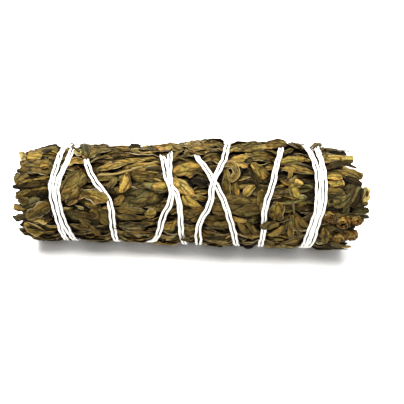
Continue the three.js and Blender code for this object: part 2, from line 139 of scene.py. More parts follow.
# The string's way round the bunch as (x, angle), one row for each turn
WINDING = [
    [(-38, 160), (-38.6, 96), (-40, 55), (-39.7, 38), (-37.8, 1), (-37.1, -45), (-36.9, -90),
     (-36.4, -125), (-35.3, -155)],
    [(-34, 175), (-33.2, 145), (-30.3, 82), (-27.8, 62), (-23.1, 33), (-22.4, -4), (-21.7, -45),
     (-21.1, -90), (-20, -120), (-17, -155)],
    [(-13.8, 165), (-11, 130), (-8.3, 94), (-6.4, 59), (-3.6, 43), (-2.7, 11), (-1.5, -45),
     (-1.4, -90), (-1, -120), (0.2, -150)],
    [(1.2, 175), (1.4, 130), (1.7, 89), (4.9, 69), (9.4, 38), (11.9, 12), (13.8, -26), (15.6, -60),
     (16.3, -90), (17, -120), (19.6, -150)],
    [(26, 180), (31.5, 135), (34.4, 105), (36.3, 65), (36.35, 35), (34.95, 8), (33.5, -45), (33, -90),
     (33.1, -120), (34, -150)],
    [(35.6, 180), (36.6, 140), (37.2, 96), (38.3, 60), (38, 35), (36.6, 8), (35.2, -45),
     (35.1, -90), (34.9, -120), (33.4, -150)],
    [(30, 180), (27.2, 140), (25.8, 99), (23.8, 64), (21.6, 30), (21.3, -10), (21.1, -50),
     (21, -90), (20.8, -120), (19.4, -150)],
    [(14, 170), (10.8, 126), (9.6, 86), (6.5, 56), (5.7, 35), (2.9, 9), (2.7, -45), (2.7, -90),
     (2.3, -120), (-0.2, -150)],
    [(-4.4, 170), (-6.2, 130), (-6.4, 91), (-5.9, 60), (-5.6, 39), (-7.7, 17), (-9.2, -8),
     (-10.4, -26), (-12.9, -41), (-15.2, -58), (-16.4, -85), (-17, -115), (-19, -155)],
    [(-25, 165), (-31, 135), (-34.6, 112), (-36.3, 85), (-38.4, 50), (-38, 31), (-36.2, 2),
     (-34.3, -45), (-34.5, -90), (-34.7, -120), (-35.8, -150), (-36.5, -192)],
]
CROSSINGS = [(5, -146), (6, 158), (6, -149), (7, 57), (7, -147), (8, 56), (8, -146), (9, 127), (9, -146)]
# Where the two strands of the string part from each other: (turn, angle, gap, half width in degrees)
OPENINGS = [
    (1, 40, 0.18, 30), (1, -10, 0.12, 25), (2, 75, 0.2, 16), (3, 20, 0.16, 22), (6, 60, 0.12, 22),
    (7, 85, 0.22, 18), (7, -14, 0.6, 15), (8, 10, 0.2, 20), (0, 30, 0.22, 18),
    (9, 5, 0.3, 18), (4, 40, 0.08, 30), (5, 0, 0.12, 24),
]
KNOT_AT = (-37.2, 164)
KNOT_RADIUS = 1.4
KNOT_STRAND = 0.42
TAIL_FRAYED = 0.35
TAILS = [
    [(-37.2, 164), (-35.4, 172), (-34, 178), (-32.9, 186)],
    [(-37.2, 164), (-39.2, 170), (-41.3, 173), (-43.4, 171)],
]
# Flower heads: where the picture shows them, radius and tone
FLOWER_BUDS = [
    ((330, 217), 1.9, 0.62), ((343, 222), 2.2, 0.76), ((357, 220), 1.8, 0.84), ((339, 237), 2.0, 0.84),
    ((351, 235), 2.0, 0.88), ((345, 232), 1.5, 0.80), ((333, 220), 1.3, 0.50),
]

FLOWER_TINT = (1.2, 1.0, 0.86)
PETAL_THICKNESS = 0.12
GOLDEN_TURN = 2.39996
STEM_COLOUR = (0.13, 0.095, 0.045)

# Linear colours of the leaves from the darkest tone, 0, to the palest, 1
TONES = np.array([0, 0.25, 0.45, 0.65, 0.82, 1])
TONE_COLOURS = np.array([
    (0.006, 0.0036, 0.0011), (0.030, 0.0205, 0.0056), (0.076, 0.0540, 0.0150), (0.126, 0.0910, 0.0250),
    (0.186, 0.1320, 0.0330), (0.290, 0.2200, 0.0950),
])
TONE_SPREAD = 1.25
GREY_GREEN = np.array((0.64, 0.85, 1.5))
# Low on the front the leaves are painted paler and more varied, as painted light from the front, and they are
# greener
PAINTED_LIGHT_BETWEEN = (-38, 25)
PAINTED_LIGHT_TONE, PAINTED_LIGHT_SPREAD, LOW_FRONT_GREEN = 0.17, 0.8, 0.12

# The floor's two greys, the room's brightness at the floor and above, and the lamp
FLOOR_GREYS = (0.80, 0.84)
ROOM_HEIGHT = 0.14
ROOM_LIGHT = (1.0, 0.82)
LAMP_SIZE = 0.9
LAMP_POWER = 22
LAMP_PLACE = (-0.10, 0.10, 0.92)
LAMP_COLOUR = (1, 0.985, 0.96)

# Leaves told apart lie this high; those with an end this far off the bunch are free of it
TOLD_LIFT = 0.4
STANDS_FREE = 0.6


def told(root_x, root_y, tip_x, tip_y, width, tone, **more):
    """A leaf that can be told apart, with its root and tip where the picture shows them."""
    return (root_x, root_y), (tip_x, tip_y), width, tone, more


# Leaves of tone 0.05 or less are near-black sheets laid where dark holes open between the leaves: painted
# shade.
TOLD_LEAVES = [
    # Left end
    told(27.5, 157.5, 42.5, 157, 7.2, 0.8, blunt=0.12, fold=4, wrinkle=0.08, depth=-0.65),
    told(42, 152, 60, 152, 1.9, 0.66, blunt=0.2, fold=12, wrinkle=0.1),
    told(41, 147.5, 60, 147.5, 2.4, 0.26, green=0.5, tilt=50, blunt=0.4),
    told(21, 152, 24, 162, 2.6, 1, blunt=0.2, roll=0.4, depth=-0.3, wrinkle=0.05),
    told(22, 161, 24.5, 170, 2.6, 0.52, blunt=0.2, roll=0.3, depth=-0.2),
    told(26, 155, 26, 169, 2.2, 0.34, blunt=0.2, fold=20),
    told(41, 160.5, 47.5, 161, 2.2, 0.02, fold=0, depth=-0.1, blunt=0.4),
    told(40, 167, 49.5, 166, 3.6, 0.76, blunt=0.25, fold=-20, depth=-0.2),
    told(28, 167, 40, 168.5, 1.6, 0.2, fold=30, wrinkle=0.3),
    told(28, 173, 17, 170, 2.2, 0.34, fold=35, bend=30, blunt=0.3),
    told(48, 174, 30, 171, 2, 0.56, fold=-28, bend=20, blunt=0.35),
    told(29, 176, 14.5, 182, 4.2, 0.6, blunt=0.2, green=0.3, fold=12, depth=-0.2),
    told(50, 177, 28, 182, 2.4, 0.54, fold=30, bend=-24, blunt=0.35),
    told(30, 187, 12.5, 187, 1.8, 0.1, fold=30, blunt=0.3),
    told(47, 183, 24, 187, 2, 0.22, fold=-30, bend=16),
    told(48, 188, 15, 197, 2.7, 0.62, fold=24, bend=20, blunt=0.3),
    # Two near-black leaves: painted shade in a dark hole.
    told(37, 196, 48, 193.5, 1.5, 0.04, fold=20, depth=-0.1),
    told(39, 193, 46, 196.5, 1.2, 0.04, fold=-20, depth=-0.1),
    told(40, 197, 28.5, 202, 3.6, 0.5, green=0.8, tilt=18, blunt=0.35, depth=-0.2),
    told(31, 203, 18, 200, 2.4, 0.44, fold=-25, blunt=0.3),
    told(34, 208, 13.5, 208.5, 3, 0.54, fold=26, bend=-14, blunt=0.2),
    told(50, 205, 28.5, 217, 4.4, 0.52, tilt=-15, blunt=0.3, depth=-0.25, wrinkle=0.12),
    told(30, 214, 15, 219, 3, 0.46, green=0.5, fold=-22, blunt=0.2),
    told(52, 221, 24, 224, 2.4, 0.48, fold=32, wrinkle=0.3, blunt=0.35),
    told(38, 227, 20, 229, 2.8, 0.44, fold=-20, wrinkle=0.3, blunt=0.25),
    told(52, 230, 30, 234, 2.8, 0.5, fold=20, wrinkle=0.3, blunt=0.35),
    told(58, 149, 72, 151, 2.2, 0.5, green=0.2, tilt=40),
    # Left band to the first turn
    told(62, 197, 83, 172, 6.4, 0.52, blunt=0.42, ribs=0.5, depth=-0.25, tilt=-8),
    told(67, 163, 84, 160, 3.6, 0.78, blunt=0.4),
    told(86, 190, 66, 204, 3.8, 0.6, wrinkle=0.4, twist=40, bend=30),
    told(82, 192, 108.5, 200, 4.2, 0.66, wrinkle=0.4, fold=-18, twist=-30, bend=-30, over=0.9, depth=-0.3),
    told(84, 203, 101, 206, 2.4, 0.5, wrinkle=0.3, fold=25),
    told(94, 207, 109, 226, 5, 0.46, tilt=12),
    told(84, 147, 87, 160, 3, 0.5, green=0.75, over=1, depth=-0.75, fold=12, blunt=0.4),
    told(79, 151, 71, 143, 1, 0.5, tilt=60, fold=20, green=0.3),
    told(66, 212, 92, 216, 2.4, 0.42, fold=25),
    told(70, 225, 96, 229, 2.6, 0.4, fold=20),
    told(80, 219, 102, 236, 2, 0.42, fold=30),
    # First turn to the second
    told(97, 171, 129, 163, 2.8, 0.68, fold=18),
    told(112, 163, 146, 161, 2.2, 0.74, fold=25),
    told(125, 160, 163, 157, 2, 0.74, fold=30),
    told(128, 167, 163, 164, 2.4, 0.74, fold=22),
    told(90, 156, 112, 151, 2.8, 0.52, green=0.4),
    told(114, 149, 141, 153, 3, 0.56, green=0.3, fold=15),
    told(128, 173, 121, 194, 3.7, 0.84, blunt=0.7, depth=-0.35, fold=-24, bend=-40, tilt=14),
    told(119, 178, 129, 181, 2.2, 0.56, blunt=0.5, depth=-0.1, green=0.3, tilt=20),
    told(119, 206, 167, 184, 10.5, 0.5, green=0.5, depth=0.5, wrinkle=0.32, blunt=0.4, tilt=-4, fold=6),
    told(114, 206, 124, 195, 2.4, 0.72, fold=25, bend=30),
    told(108, 190, 117, 178, 2, 0.56, fold=20, green=0.4),
    told(152, 188, 167, 185, 3, 0.84, fold=10),
    told(145, 215, 156, 212, 3, 0.7, blunt=0.2),
    told(116, 210, 147, 211, 2.2, 0.42, fold=25),
    told(116, 217, 148, 217, 2, 0.4, fold=30),
    told(118, 224, 150, 224, 2.4, 0.42, fold=22, green=0.3),
    told(120, 231, 152, 233, 2.4, 0.46, fold=22),
    told(152, 150, 176, 147, 3, 0.5, over=1, depth=-0.7, fold=14, wrinkle=0.2),
    told(149, 147.5, 171, 146, 2.6, 0.4, over=1, depth=0, green=0.4, wrinkle=0.2),
    # Second turn to the third
    told(172, 178, 195, 196, 3.6, 0.88, depth=-0.25, fold=12),
    told(182, 196, 202, 208, 3, 0.8, depth=-0.1, fold=12),
    told(192, 180, 209, 184, 2.2, 0.04, fold=8, depth=-0.1, blunt=0.4),
    told(181, 237, 189, 235, 2.6, 0.52, over=1, depth=-0.7, fold=10, blunt=0.4),
    told(173, 171, 201, 165, 4.8, 0.74, blunt=0.38),
    told(180, 214, 207, 211, 5, 0.44, blunt=0.4),
    told(162, 229, 177, 221, 3, 0.78, fold=10),
    told(178, 226, 202, 230, 3, 0.5, fold=20),
    told(172, 158, 182, 150, 2.8, 0.62, green=0.4),
    told(184, 158, 196, 150, 3, 0.58, green=0.3),
    told(176, 149, 190, 145, 2.4, 0.5, green=0.5),
    told(198, 152, 212, 149, 2.6, 0.56, green=0.3),
    told(187, 150, 206, 151, 3.2, 0.56, over=1, depth=-0.7, fold=12, wrinkle=0.2),
    told(185, 146, 204, 146.5, 2.6, 0.46, over=1, depth=-0.1, fold=12, wrinkle=0.2),
    # Third turn to the fourth
    told(227, 200, 226, 166, 2.7, 0.5, fold=28, depth=-0.2),
    told(228, 165, 235, 179, 2.5, 0.66, bend=-190, stretch=1.9, depth=-0.6, fold=-14, blunt=0.3),
    # A near-black leaf inside the curled one: painted shade in the hole it rings.
    told(235, 170, 243, 173, 2.2, 0.03, fold=0, depth=-0.35, blunt=0.4),
    told(227, 163, 246, 160, 2.6, 0.7, fold=20, depth=-0.2),
    told(238, 199, 234, 179, 2.3, 0.66, fold=22),
    told(243, 198, 255, 185, 2.4, 0.7, fold=22),
    told(211, 207, 262, 208.5, 7, 0.45, ribs=0.55, blunt=0.15, fold=3, wrinkle=0.05, green=0.3),
    told(259, 189, 260, 214, 2.5, 0.58, fold=20, depth=-0.2),
    told(225, 165, 248, 157, 3.4, 0.78, fold=14),
    told(252, 163, 264, 180, 4.2, 0.74, fold=20, wrinkle=0.3, blunt=0.4),
    told(249, 169, 260, 192, 1.5, 0.14, fold=30, blunt=0.4, depth=-0.1),
    told(227, 168, 248, 167, 2.6, 0.78, fold=10, depth=-0.3, blunt=0.3),
    told(237, 222, 253, 239, 2.2, 0.5, fold=24),
    told(246, 221, 261, 238, 2, 0.52, fold=24),
    told(212, 224, 236, 226, 3, 0.52, blunt=0.45),
    told(234, 152, 262, 149, 3, 0.54, fold=20),
    told(266, 148, 287, 147, 3.4, 0.46, over=1, depth=-0.8, fold=12, tilt=40, blunt=0.4),
    # Fourth turn to the right band
    told(260, 225.5, 279, 222, 2.6, 0.44, over=1, depth=-0.75, fold=10, green=0.3, blunt=0.3),
    told(284, 170, 290, 178, 1.4, 0.66, bend=-200, stretch=1.8, depth=-0.4, fold=12, blunt=0.4),
    told(282, 182, 296, 181, 1.9, 0.58, bend=150, stretch=1.4, depth=-0.3, fold=15, blunt=0.4),
    told(288, 181, 303, 185, 2.6, 0.88, fold=12, depth=-0.2),
    told(280, 202, 275, 220, 4.6, 0.66, blunt=0.2, wrinkle=0.14, ribs=0.35, fold=14),
    told(291, 183, 298, 198, 2.8, 0.8, fold=20, depth=-0.25),
    told(294, 212, 313, 232, 1.9, 0.5, fold=25),
    told(293, 213, 303, 239, 2.1, 0.54, fold=25),
    told(292, 214, 291, 242, 2.1, 0.62, fold=25),
    told(291, 213, 280, 234, 2, 0.48, fold=25),
    told(268, 236, 287, 224, 3, 0.66, fold=14),
    told(280, 243, 302, 236, 2.6, 0.56, fold=14),
    told(272, 160, 312, 158, 3.2, 0.7, fold=18),
    told(284, 166, 314, 172, 2.6, 0.64, fold=18),
    told(311, 152, 287, 145, 3.6, 0.34, teeth=0.45, tilt=55, fold=10, green=0.5, wrinkle=0.3),
    told(306, 151, 294, 148, 2.6, 0.36, tilt=30, fold=20),
    told(266, 149, 284, 144, 1, 0.46, fold=10, tilt=50),
    told(274, 152, 294, 150, 2, 0.44, fold=30, tilt=20),
    told(313, 151, 321, 143.5, 3.2, 0.62, green=0.7, tilt=60, blunt=0.3, over=1, depth=-1.4),
    told(244, 147, 262, 144, 2, 0.4, tilt=45, green=0.3),
    told(202, 146, 218, 143, 2, 0.34, tilt=45),
    told(128, 149, 141, 146.5, 2.2, 0.3, tilt=45, green=0.4),
    told(96, 149, 108, 147, 2.2, 0.36, tilt=40, green=0.5),
    # Right end
    told(328, 158, 353, 158, 8.2, 0.86, roll=0.66, depth=-1.5, blunt=0.1, wrinkle=0.03, bow=0),
    told(322, 153, 332, 163, 4.6, 0.64, depth=-0.3, fold=-12, blunt=0.4),
    told(326, 169, 343, 164, 2.4, 0.16, fold=-25, depth=-0.8, bend=30, blunt=0.4),
    told(340, 164, 357, 170, 1.6, 0.22, fold=-35, depth=-0.9, bend=-30),
    told(326, 172, 350, 176, 3.2, 0.68, fold=24, depth=-0.3, blunt=0.4),
    told(341, 170, 362, 179.5, 3.6, 0.62, fold=-26, depth=-0.6, green=0.3, tilt=20, blunt=0.3),
    told(327, 177, 342, 180, 2.4, 0.84, fold=-24, depth=-0.4, wrinkle=0.3, blunt=0.4),
    told(328, 182, 344, 186, 2.6, 0.82, fold=22, depth=-0.5, twist=40, wrinkle=0.3, blunt=0.4),
    told(330, 187, 343, 184, 2, 0.72, fold=-22, depth=-0.5, wrinkle=0.3),
    told(341, 208, 359, 182, 6.8, 0.46, green=0.6, roll=0.34, depth=-0.9, bend=30, ribs=1, blunt=0.4),
    told(352, 208, 363, 188, 2.6, 0.16, roll=0.3, depth=-0.9, bend=34, blunt=0.4),
    told(344, 179, 361, 187, 2.4, 0.16, fold=-20, depth=-1, bend=-34, blunt=0.4),
    told(326, 192, 341, 190, 2.6, 0.5, fold=-20, blunt=0.4),
    told(327, 203, 346, 199, 6, 0.5, fold=10, depth=-0.4, blunt=0.3, wrinkle=0.28, green=0.2),
    told(329, 201, 333, 202, 1, 0.05, fold=0, depth=-0.9),
    told(327, 211, 338, 208, 2, 0.03, fold=-10, depth=0),
    told(338, 212, 346, 206, 2.4, 0.05, fold=-10, depth=0),
    told(345, 213, 347, 206, 2.2, 0.5, green=0.6, depth=-0.4),
    told(352, 207, 368, 203, 3.4, 0.4, fold=22, green=0.6, teeth=0.5, tilt=20, blunt=0.3),
    told(352, 212, 369, 210, 3.2, 0.34, fold=-25, green=0.4, teeth=0.5, tilt=-20, blunt=0.3),
    told(356, 217, 369, 217, 2.8, 0.38, fold=25, green=0.5, teeth=0.5, tilt=30, blunt=0.3),
    told(364, 202, 366, 187, 2.9, 0.98, roll=0.42, depth=-0.3, blunt=0.3, wrinkle=0.05),
    told(366, 197, 366.4, 191, 0.9, 0.25, depth=-0.9, wrinkle=0.05),
    told(324, 241, 324.5, 226, 3, 0.72, fold=-30, depth=-0.7, roll=0.2, blunt=0.5),
    told(324, 237, 324.5, 231, 1.1, 0.24, depth=-1.2, fold=-20),
    told(314, 245, 348, 247, 2.6, 0.36, fold=20),
    told(330, 242, 350, 244, 2.4, 0.44, fold=-20, green=0.3),
    told(340, 245, 351, 243, 2, 0.86, roll=0.5, depth=-0.6, blunt=0.4),
    told(327, 152.5, 346, 150, 3.4, 0.24, green=0.8, teeth=0.35, tilt=50, blunt=0.4),
]
# What a leaf is like where nothing else is said. Depth and pitch are in millimetres, fold, tilt, twist
# and bend in degrees; over lays a leaf on top of the string, and free lets one rise off the bunch.
PLAIN_LEAF = dict(depth=0.0, fold=0.0, roll=0.0, tilt=0.0, twist=0.0, pitch=0.0, bow=0.25, bend=0.0,
                  wrinkle=0.18, teeth=0.0, blunt=0.6, green=0.0, over=0.0, ribs=0.0, free=0.0, stretch=1.0)

# Where scattered leaves cover the string on top: x, angles and their number
COVERS = [((-15, -3.5), (106, 144), 34), ((-1.5, 5.0), (97, 140), 20), ((-33.5, -26), (96, 140), 24),
          ((29.5, 33.5), (110, 142), 12), ((-3, 7), (126, 142), 10)]

# Twigs that lie on the bunch, as the picture shows them, with their radius and tone
TWIG_LIFT = 0.15
TWIGS = [
    ([(97, 175), (112, 175), (126, 172), (141, 167), (163, 160)], 0.42, 0.80),
    ([(289, 182), (290, 192), (293, 202), (294, 214)], 0.34, 0.46),
    ([(249, 172), (254, 182), (260, 194)], 0.22, 0.24),
    ([(337, 151), (342, 151), (346, 151.5), (350, 152)], 0.20, 0.50),
    ([(160, 166), (172, 172), (178, 180)], 0.28, 0.60),
]


def smooth_step(value, start, end):
    """Rises smoothly from 0 at start to 1 at end."""
    t = np.clip((value - start) / (end - start), 0, 1)
    return t * t * (3 - 2 * t)


def swollen_radius(x):
    return THIN_RADIUS + (THICK_RADIUS - THIN_RADIUS) * smooth_step(x, *SWELL)


def bunch_radius(x):
    """The bunch's radius, which tapers a little at both ends."""
    return swollen_radius(x) - END_TAPER_BY * smooth_step(np.abs(x), *END_TAPER)


def axis_height(x):
    """The height of the bunch's axis over the floor."""
    return swollen_radius(x) - FLAT


def reach(x, angle, height=0.0):
    """How far the bunch reaches from its axis; underneath it stops at this height over the floor."""
    down = np.maximum(-np.sin(np.radians(angle)), 1e-3)
    return np.minimum(bunch_radius(x), (axis_height(x) - height) / down)


def at(x, angle, radius):
    """The point in space at a place on the bunch."""
    a = np.radians(angle)
    x, y, z = np.broadcast_arrays(x, -radius * np.cos(a), axis_height(x) + radius * np.sin(a))
    return np.stack([x, y, z], -1)


def polar(points):
    """(x, angle, radius) of points in space."""
    x, y = points[..., 0], points[..., 1]
    z = points[..., 2] - axis_height(x)
    return x, np.degrees(np.arctan2(z, -y)), np.hypot(y, z)


def picture_axes():
    """The picture's axes: to the right, up and into it."""
    e, r = np.radians(ELEVATION), np.radians(ROLL)
    inwards = np.array((0, np.cos(e), -np.sin(e)))
    level_up = np.array((0, np.sin(e), np.cos(e)))
    right = np.array((np.cos(r), 0, 0)) + np.sin(r) * level_up
    return right, np.cross(right, inwards), inwards


def camera_place():
    right, up, inwards = picture_axes()
    pixel = DISTANCE * SENSOR / LENS / PICTURE_SIDE
    middle = PICTURE_SIDE / 2
    aim = np.array((0, 0, axis_height(0.0)))
    aim = aim + right * (middle - MIDDLE_SEEN[0]) * pixel + up * (MIDDLE_SEEN[1] - middle) * pixel
    return aim - inwards * DISTANCE


def seen(px, py):
    """(x, angle, height) of what the picture shows there; beside the bunch it is over the surface."""
    right, up, inwards = picture_axes()
    pixel = SENSOR / LENS / PICTURE_SIDE
    middle = PICTURE_SIDE / 2
    ray = inwards + right * (px - middle) * pixel + up * (middle - py) * pixel
    steps = np.linspace(DISTANCE - 25, DISTANCE + 25, 501)[:, None]
    x, angle, radius = polar(camera_place() + ray * steps)
    over = radius - bunch_radius(x)
    hit = np.argmax(over < 0) if (over < 0).any() else np.argmin(over)
    return x[hit], angle[hit], max(over.min(), 0)


def seam_sway(x, number):
    degrees, pitch, step = SEAM_WAVE
    return degrees * np.sin(2 * np.pi * x / pitch + step * number)


def outer_seam(k, x):
    """The angle of the seam below outer sprig k."""
    return -90 + 360 / OUTER_SPRIGS * (k - 0.5) + seam_sway(x, k % OUTER_SPRIGS)


def inner_seam(k, x):
    """The angle of the seam before inner sprig k."""
    return 360 / INNER_SPRIGS * k + seam_sway(x, k % INNER_SPRIGS)


def outer_sprig_at(x, angle):
    for k in range(OUTER_SPRIGS):
        if (angle - outer_seam(k, x)) % 360 < outer_seam(k + 1, x) - outer_seam(k, x):
            return k
    return 0


def outward(x, angle):
    """The way out of the bunch at an angle."""
    return at(x, angle, 1.0) - at(x, angle, 0.0)


def unit(vectors):
    """The same vectors, with a length of one."""
    return vectors / np.maximum(np.linalg.norm(vectors, axis=-1, keepdims=True), 1e-9)


def apart_from(angle, other):
    """The signed difference of two angles, by the shorter way."""
    return (angle - other + 180) % 360 - 180


def from_below(angle):
    """The same angle, between -90 underneath and 270."""
    return (angle + 90) % 360 - 90


# The string's route

def wound_to(turn, angle):
    """How far the string is wound, in degrees, where it passes an angle in one of its turns."""
    return 360 * turn - angle


def centripetal_curve(points, per_segment):
    """A centripetal Catmull-Rom curve through points."""
    points = np.vstack([2 * points[0] - points[1], points, 2 * points[-1] - points[-2]])
    out = []
    for p0, p1, p2, p3 in zip(points, points[1:], points[2:], points[3:]):
        t0 = 0
        t1 = t0 + np.sqrt(np.linalg.norm(p1 - p0))
        t2 = t1 + np.sqrt(np.linalg.norm(p2 - p1))
        t3 = t2 + np.sqrt(np.linalg.norm(p3 - p2))
        t = np.linspace(t1, t2, per_segment, endpoint=False)[:, None]
        a1 = (t1 - t) / (t1 - t0) * p0 + (t - t0) / (t1 - t0) * p1
        a2 = (t2 - t) / (t2 - t1) * p1 + (t - t1) / (t2 - t1) * p2
        a3 = (t3 - t) / (t3 - t2) * p2 + (t - t2) / (t3 - t2) * p3
        b1 = (t2 - t) / (t2 - t0) * a1 + (t - t0) / (t2 - t0) * a2
        b2 = (t3 - t) / (t3 - t1) * a2 + (t - t1) / (t3 - t1) * a3
        out.append((t2 - t) / (t2 - t1) * b1 + (t - t1) / (t2 - t1) * b2)
    out.append(points[-2][None])
    return np.vstack(out)


def distance_along(points):
    """How far each point of a line is from its first one, along the line."""
    return np.concatenate([[0], np.cumsum(np.linalg.norm(np.diff(points, axis=0), axis=1))])


def evenly(points, step):
    """The same line with its points an even step apart."""
    along = distance_along(points)
    places = np.linspace(0, along[-1], max(2, round(along[-1] / step)))
    return np.stack([np.interp(places, along, points[:, i]) for i in range(points.shape[1])], -1)


def smooth_route(route, per_segment, step):
    """x and angle along a smooth curve through (x, angle) points."""
    curve = evenly(centripetal_curve(route * (1, DEGREE), per_segment), step)
    return curve[:, 0], curve[:, 1] / DEGREE


def string_route():
    """x and wound angle along the string, evenly spaced."""
    rows = [(x, np.radians(wound_to(turn, angle)) * THICK_RADIUS)
            for turn, row in enumerate(WINDING) for x, angle in row]
    curve = evenly(centripetal_curve(np.array(rows), 24), STRING_STEP)
    return curve[:, 0], np.degrees(curve[:, 1] / THICK_RADIUS)


def end_reach(sign, angle):
    """x of an end of the bunch at this angle."""
    angles, xs = zip(*ENDS[sign])
    return np.interp(from_below(angle), angles, xs)


def hollow(x, angle, hollows=HOLLOWS):
    """How far the surface is lowered by the hollows."""
    depth = 0
    for middle, turned, half_width, half_angle, deep in hollows:
        away = ((x - middle) / half_width) ** 2 + (apart_from(angle, turned) / half_angle) ** 2
        depth = depth + deep * np.exp(-away)
    return depth


def string_radius(x, angle):
    """How far the string's middle lies from the bunch's axis, away from a crossing."""
    return np.minimum(reach(x, angle) - STRING_SEAT, reach(x, angle, STRAND / 2 + STRING_CLEARANCE))


def string_lift(wound):
    """How far the upper string rises where it crosses the lower one."""
    crossings = np.array([wound_to(*crossing) for crossing in CROSSINGS])
    nearest = np.abs(wound[:, None] - crossings).min(1)
    return CROSSING_LIFT * (1 - smooth_step(nearest, *CROSSING_REACH))


def string_gap(wound):
    """The gap between the string's two strands."""
    gap = np.full_like(wound, STRAND_GAP)
    for turn, angle, opening, half_width in OPENINGS:
        gap += opening * np.exp(-((wound - wound_to(turn, angle)) / half_width) ** 2)
    return gap


class PressField:
    """How close a place on the bunch lies to the string, looked up from a grid."""

    STEP_X, STEP_ANGLE = 0.5, 2.0

    def __init__(self, route_x, route_angle):
        self.xs = np.arange(-54, 54.1, self.STEP_X)
        self.angles = np.arange(0, 360, self.STEP_ANGLE)
        arc = np.radians(1) * THICK_RADIUS
        turned = apart_from(self.angles[:, None], route_angle[None])
        nearest = [np.hypot(x - route_x[None], turned * arc).min(1) for x in self.xs]
        self.grid = np.array(nearest)

    def distance(self, x, angle):
        i = np.clip((x - self.xs[0]) / self.STEP_X, 0, len(self.xs) - 1.001)
        j = (angle % 360) / self.STEP_ANGLE
        i0, j0 = i.astype(int), j.astype(int) % len(self.angles)
        fi, fj = i - i0, j - np.floor(j)
        j1 = (j0 + 1) % len(self.angles)
        low = self.grid[i0, j0] * (1 - fj) + self.grid[i0, j1] * fj
        high = self.grid[i0 + 1, j0] * (1 - fj) + self.grid[i0 + 1, j1] * fj
        return low * (1 - fi) + high * fi


ROUTE_X, ROUTE_WOUND = string_route()
PRESS = PressField(ROUTE_X[::3], -ROUTE_WOUND[::3])


def string_press(x, angle):
    """How far the string presses down what lies there."""
    return STRING_PRESS * (1 - smooth_step(PRESS.distance(x, angle), *PRESS_REACH))


# Leaves

def leaf_colours(tone, green):
    """The colours of leaves by their tone and how green they are."""
    base = np.stack([np.interp(tone, TONES, TONE_COLOURS[:, i]) for i in range(3)], -1)
    return base * (1 + green[:, None] * (GREY_GREEN - 1))


def leaf_widths(leaves, u, v):
    """Half the width along the leaf on either side of its rib, with a ragged or toothed edge."""
    blunt, grain, teeth = leaves["blunt"], leaves["grain"], leaves["teeth"]
    arch = np.clip(4 * u * (1 - u), 0, 1) ** blunt
    side = np.sign(v)
    lopsided = 1 + 0.3 * side * np.sin(grain * 1.7)
    ragged = 1 + 0.17 * np.sin(5.5 * u + grain + 2.1 * side) + 0.10 * np.sin(15 * u + 3 * grain + side)
    saw = (u * 9 + 0.3 * side) % 1
    toothed = 1 - teeth * saw * np.abs(v) ** 3
    return leaves["width"] / 2 * np.maximum(arch, 0.08) * lopsided * ragged * toothed


def leaf_profile(leaves, u, v):
    """Across and outward offsets from the rib."""
    across = v * leaf_widths(leaves, u, v)
    roll = np.where(np.abs(leaves["roll"]) < 1e-3, 1e-3, leaves["roll"])
    t = np.sin(roll * across) / roll
    h = -(1 - np.cos(roll * across)) / roll
    fold = np.radians(leaves["fold"])
    crest = np.sqrt(t * t + 0.02) - np.sqrt(0.02)
    t, h = t * np.cos(fold), h - crest * np.sin(fold)
    h = h + leaves["ribs"] * 0.14 * np.sin(np.abs(v) * 20 + 2 * u + leaves["grain"])
    tilt = np.radians(leaves["tilt"] + leaves["twist"] * (u - 0.5))
    return t * np.cos(tilt) - h * np.sin(tilt), t * np.sin(tilt) + h * np.cos(tilt), across


def zigzag(phase):
    """A wave of flat facets between sharp folds, from -1 to 1."""
    return np.arcsin(0.97 * np.sin(phase)) / 1.33


def leaf_crumple(s, across, v, grain):
    """The broad folds of a dried leaf, with smaller ones across them, from about -1 to 1."""
    drift = 0.9 * np.sin(s * 0.31 + grain) + 0.3 * np.sin(s * 0.9 + 3 * grain)
    long_fold = zigzag(across * 1.5 + 0.12 * s * np.sin(grain) + grain + drift)
    cross_fold = zigzag(s * 0.85 + 2 * grain + 0.9 * across + 0.6 * np.sin(1.3 * across + grain))
    small = zigzag(s * 2.1 - 1.6 * across + 5 * grain) * np.sin(s * 1.1 + 2.4 * across + 7 * grain)
    return 0.5 * long_fold + 0.4 * cross_fold * (0.3 + 0.7 * np.abs(v)) + 0.3 * small


def leaf_sheet(leaves, n_along, n_across):
    """The middle sheet of each leaf as points (leaf, along, across, xyz), and its own coordinates."""
    u = np.linspace(0, 1, n_along)[None, :, None]
    v = np.linspace(-1, 1, n_across)[None, None, :]
    leaves = {name: value[:, None, None] for name, value in leaves.items() if name != "colour"}
    across, out, flat = leaf_profile(leaves, u, v)
    s = leaves["length"] * u
    wander = leaves["bend"] * (u - 0.5) + 5 * np.sin(5 * u + leaves["grain"])
    heading = np.radians(leaves["heading"] + wander)
    step = leaves["length"] / (n_along - 1)
    run_x = np.cumsum(np.cos(heading), 1) * step
    run_arc = np.cumsum(np.sin(heading), 1) * step
    run_x = run_x - run_x.mean(1, keepdims=True)
    run_arc = run_arc - run_arc.mean(1, keepdims=True)
    out = out + leaves["pitch"] * (u - 0.5) * 2 + leaves["bow"] * (4 * u * (1 - u) - 0.6)
    relief = leaf_crumple(s, flat, v, leaves["grain"])
    out = out + leaves["wrinkle"] * relief
    x = leaves["x"] + run_x - across * np.sin(heading)
    arc = run_arc + across * np.cos(heading)
    base = leaves["radius"] + 0 * x
    wrapped = at(x, leaves["angle"] + np.degrees(arc / np.maximum(base, 4)), base + out)
    a = np.radians(leaves["angle"]) + 0 * x
    flat_y = -(base + out) * np.cos(a) + arc * np.sin(a)
    flat_z = axis_height(x) + (base + out) * np.sin(a) + arc * np.cos(a)
    straight = np.stack([x, flat_y, flat_z], -1)
    points = np.where(leaves["inside"][..., None] > 0, straight, wrapped)
    own = np.stack(np.broadcast_arrays(s + 0 * flat, flat + 0 * s, leaves["grain"] + 0 * flat * s), -1)
    edge = np.abs(v) + 0 * s + 0 * flat
    points = press_down(points, leaves)
    return points, own, edge, relief + 0 * edge, sunk_shade(points) * (1 - leaves["inside"])


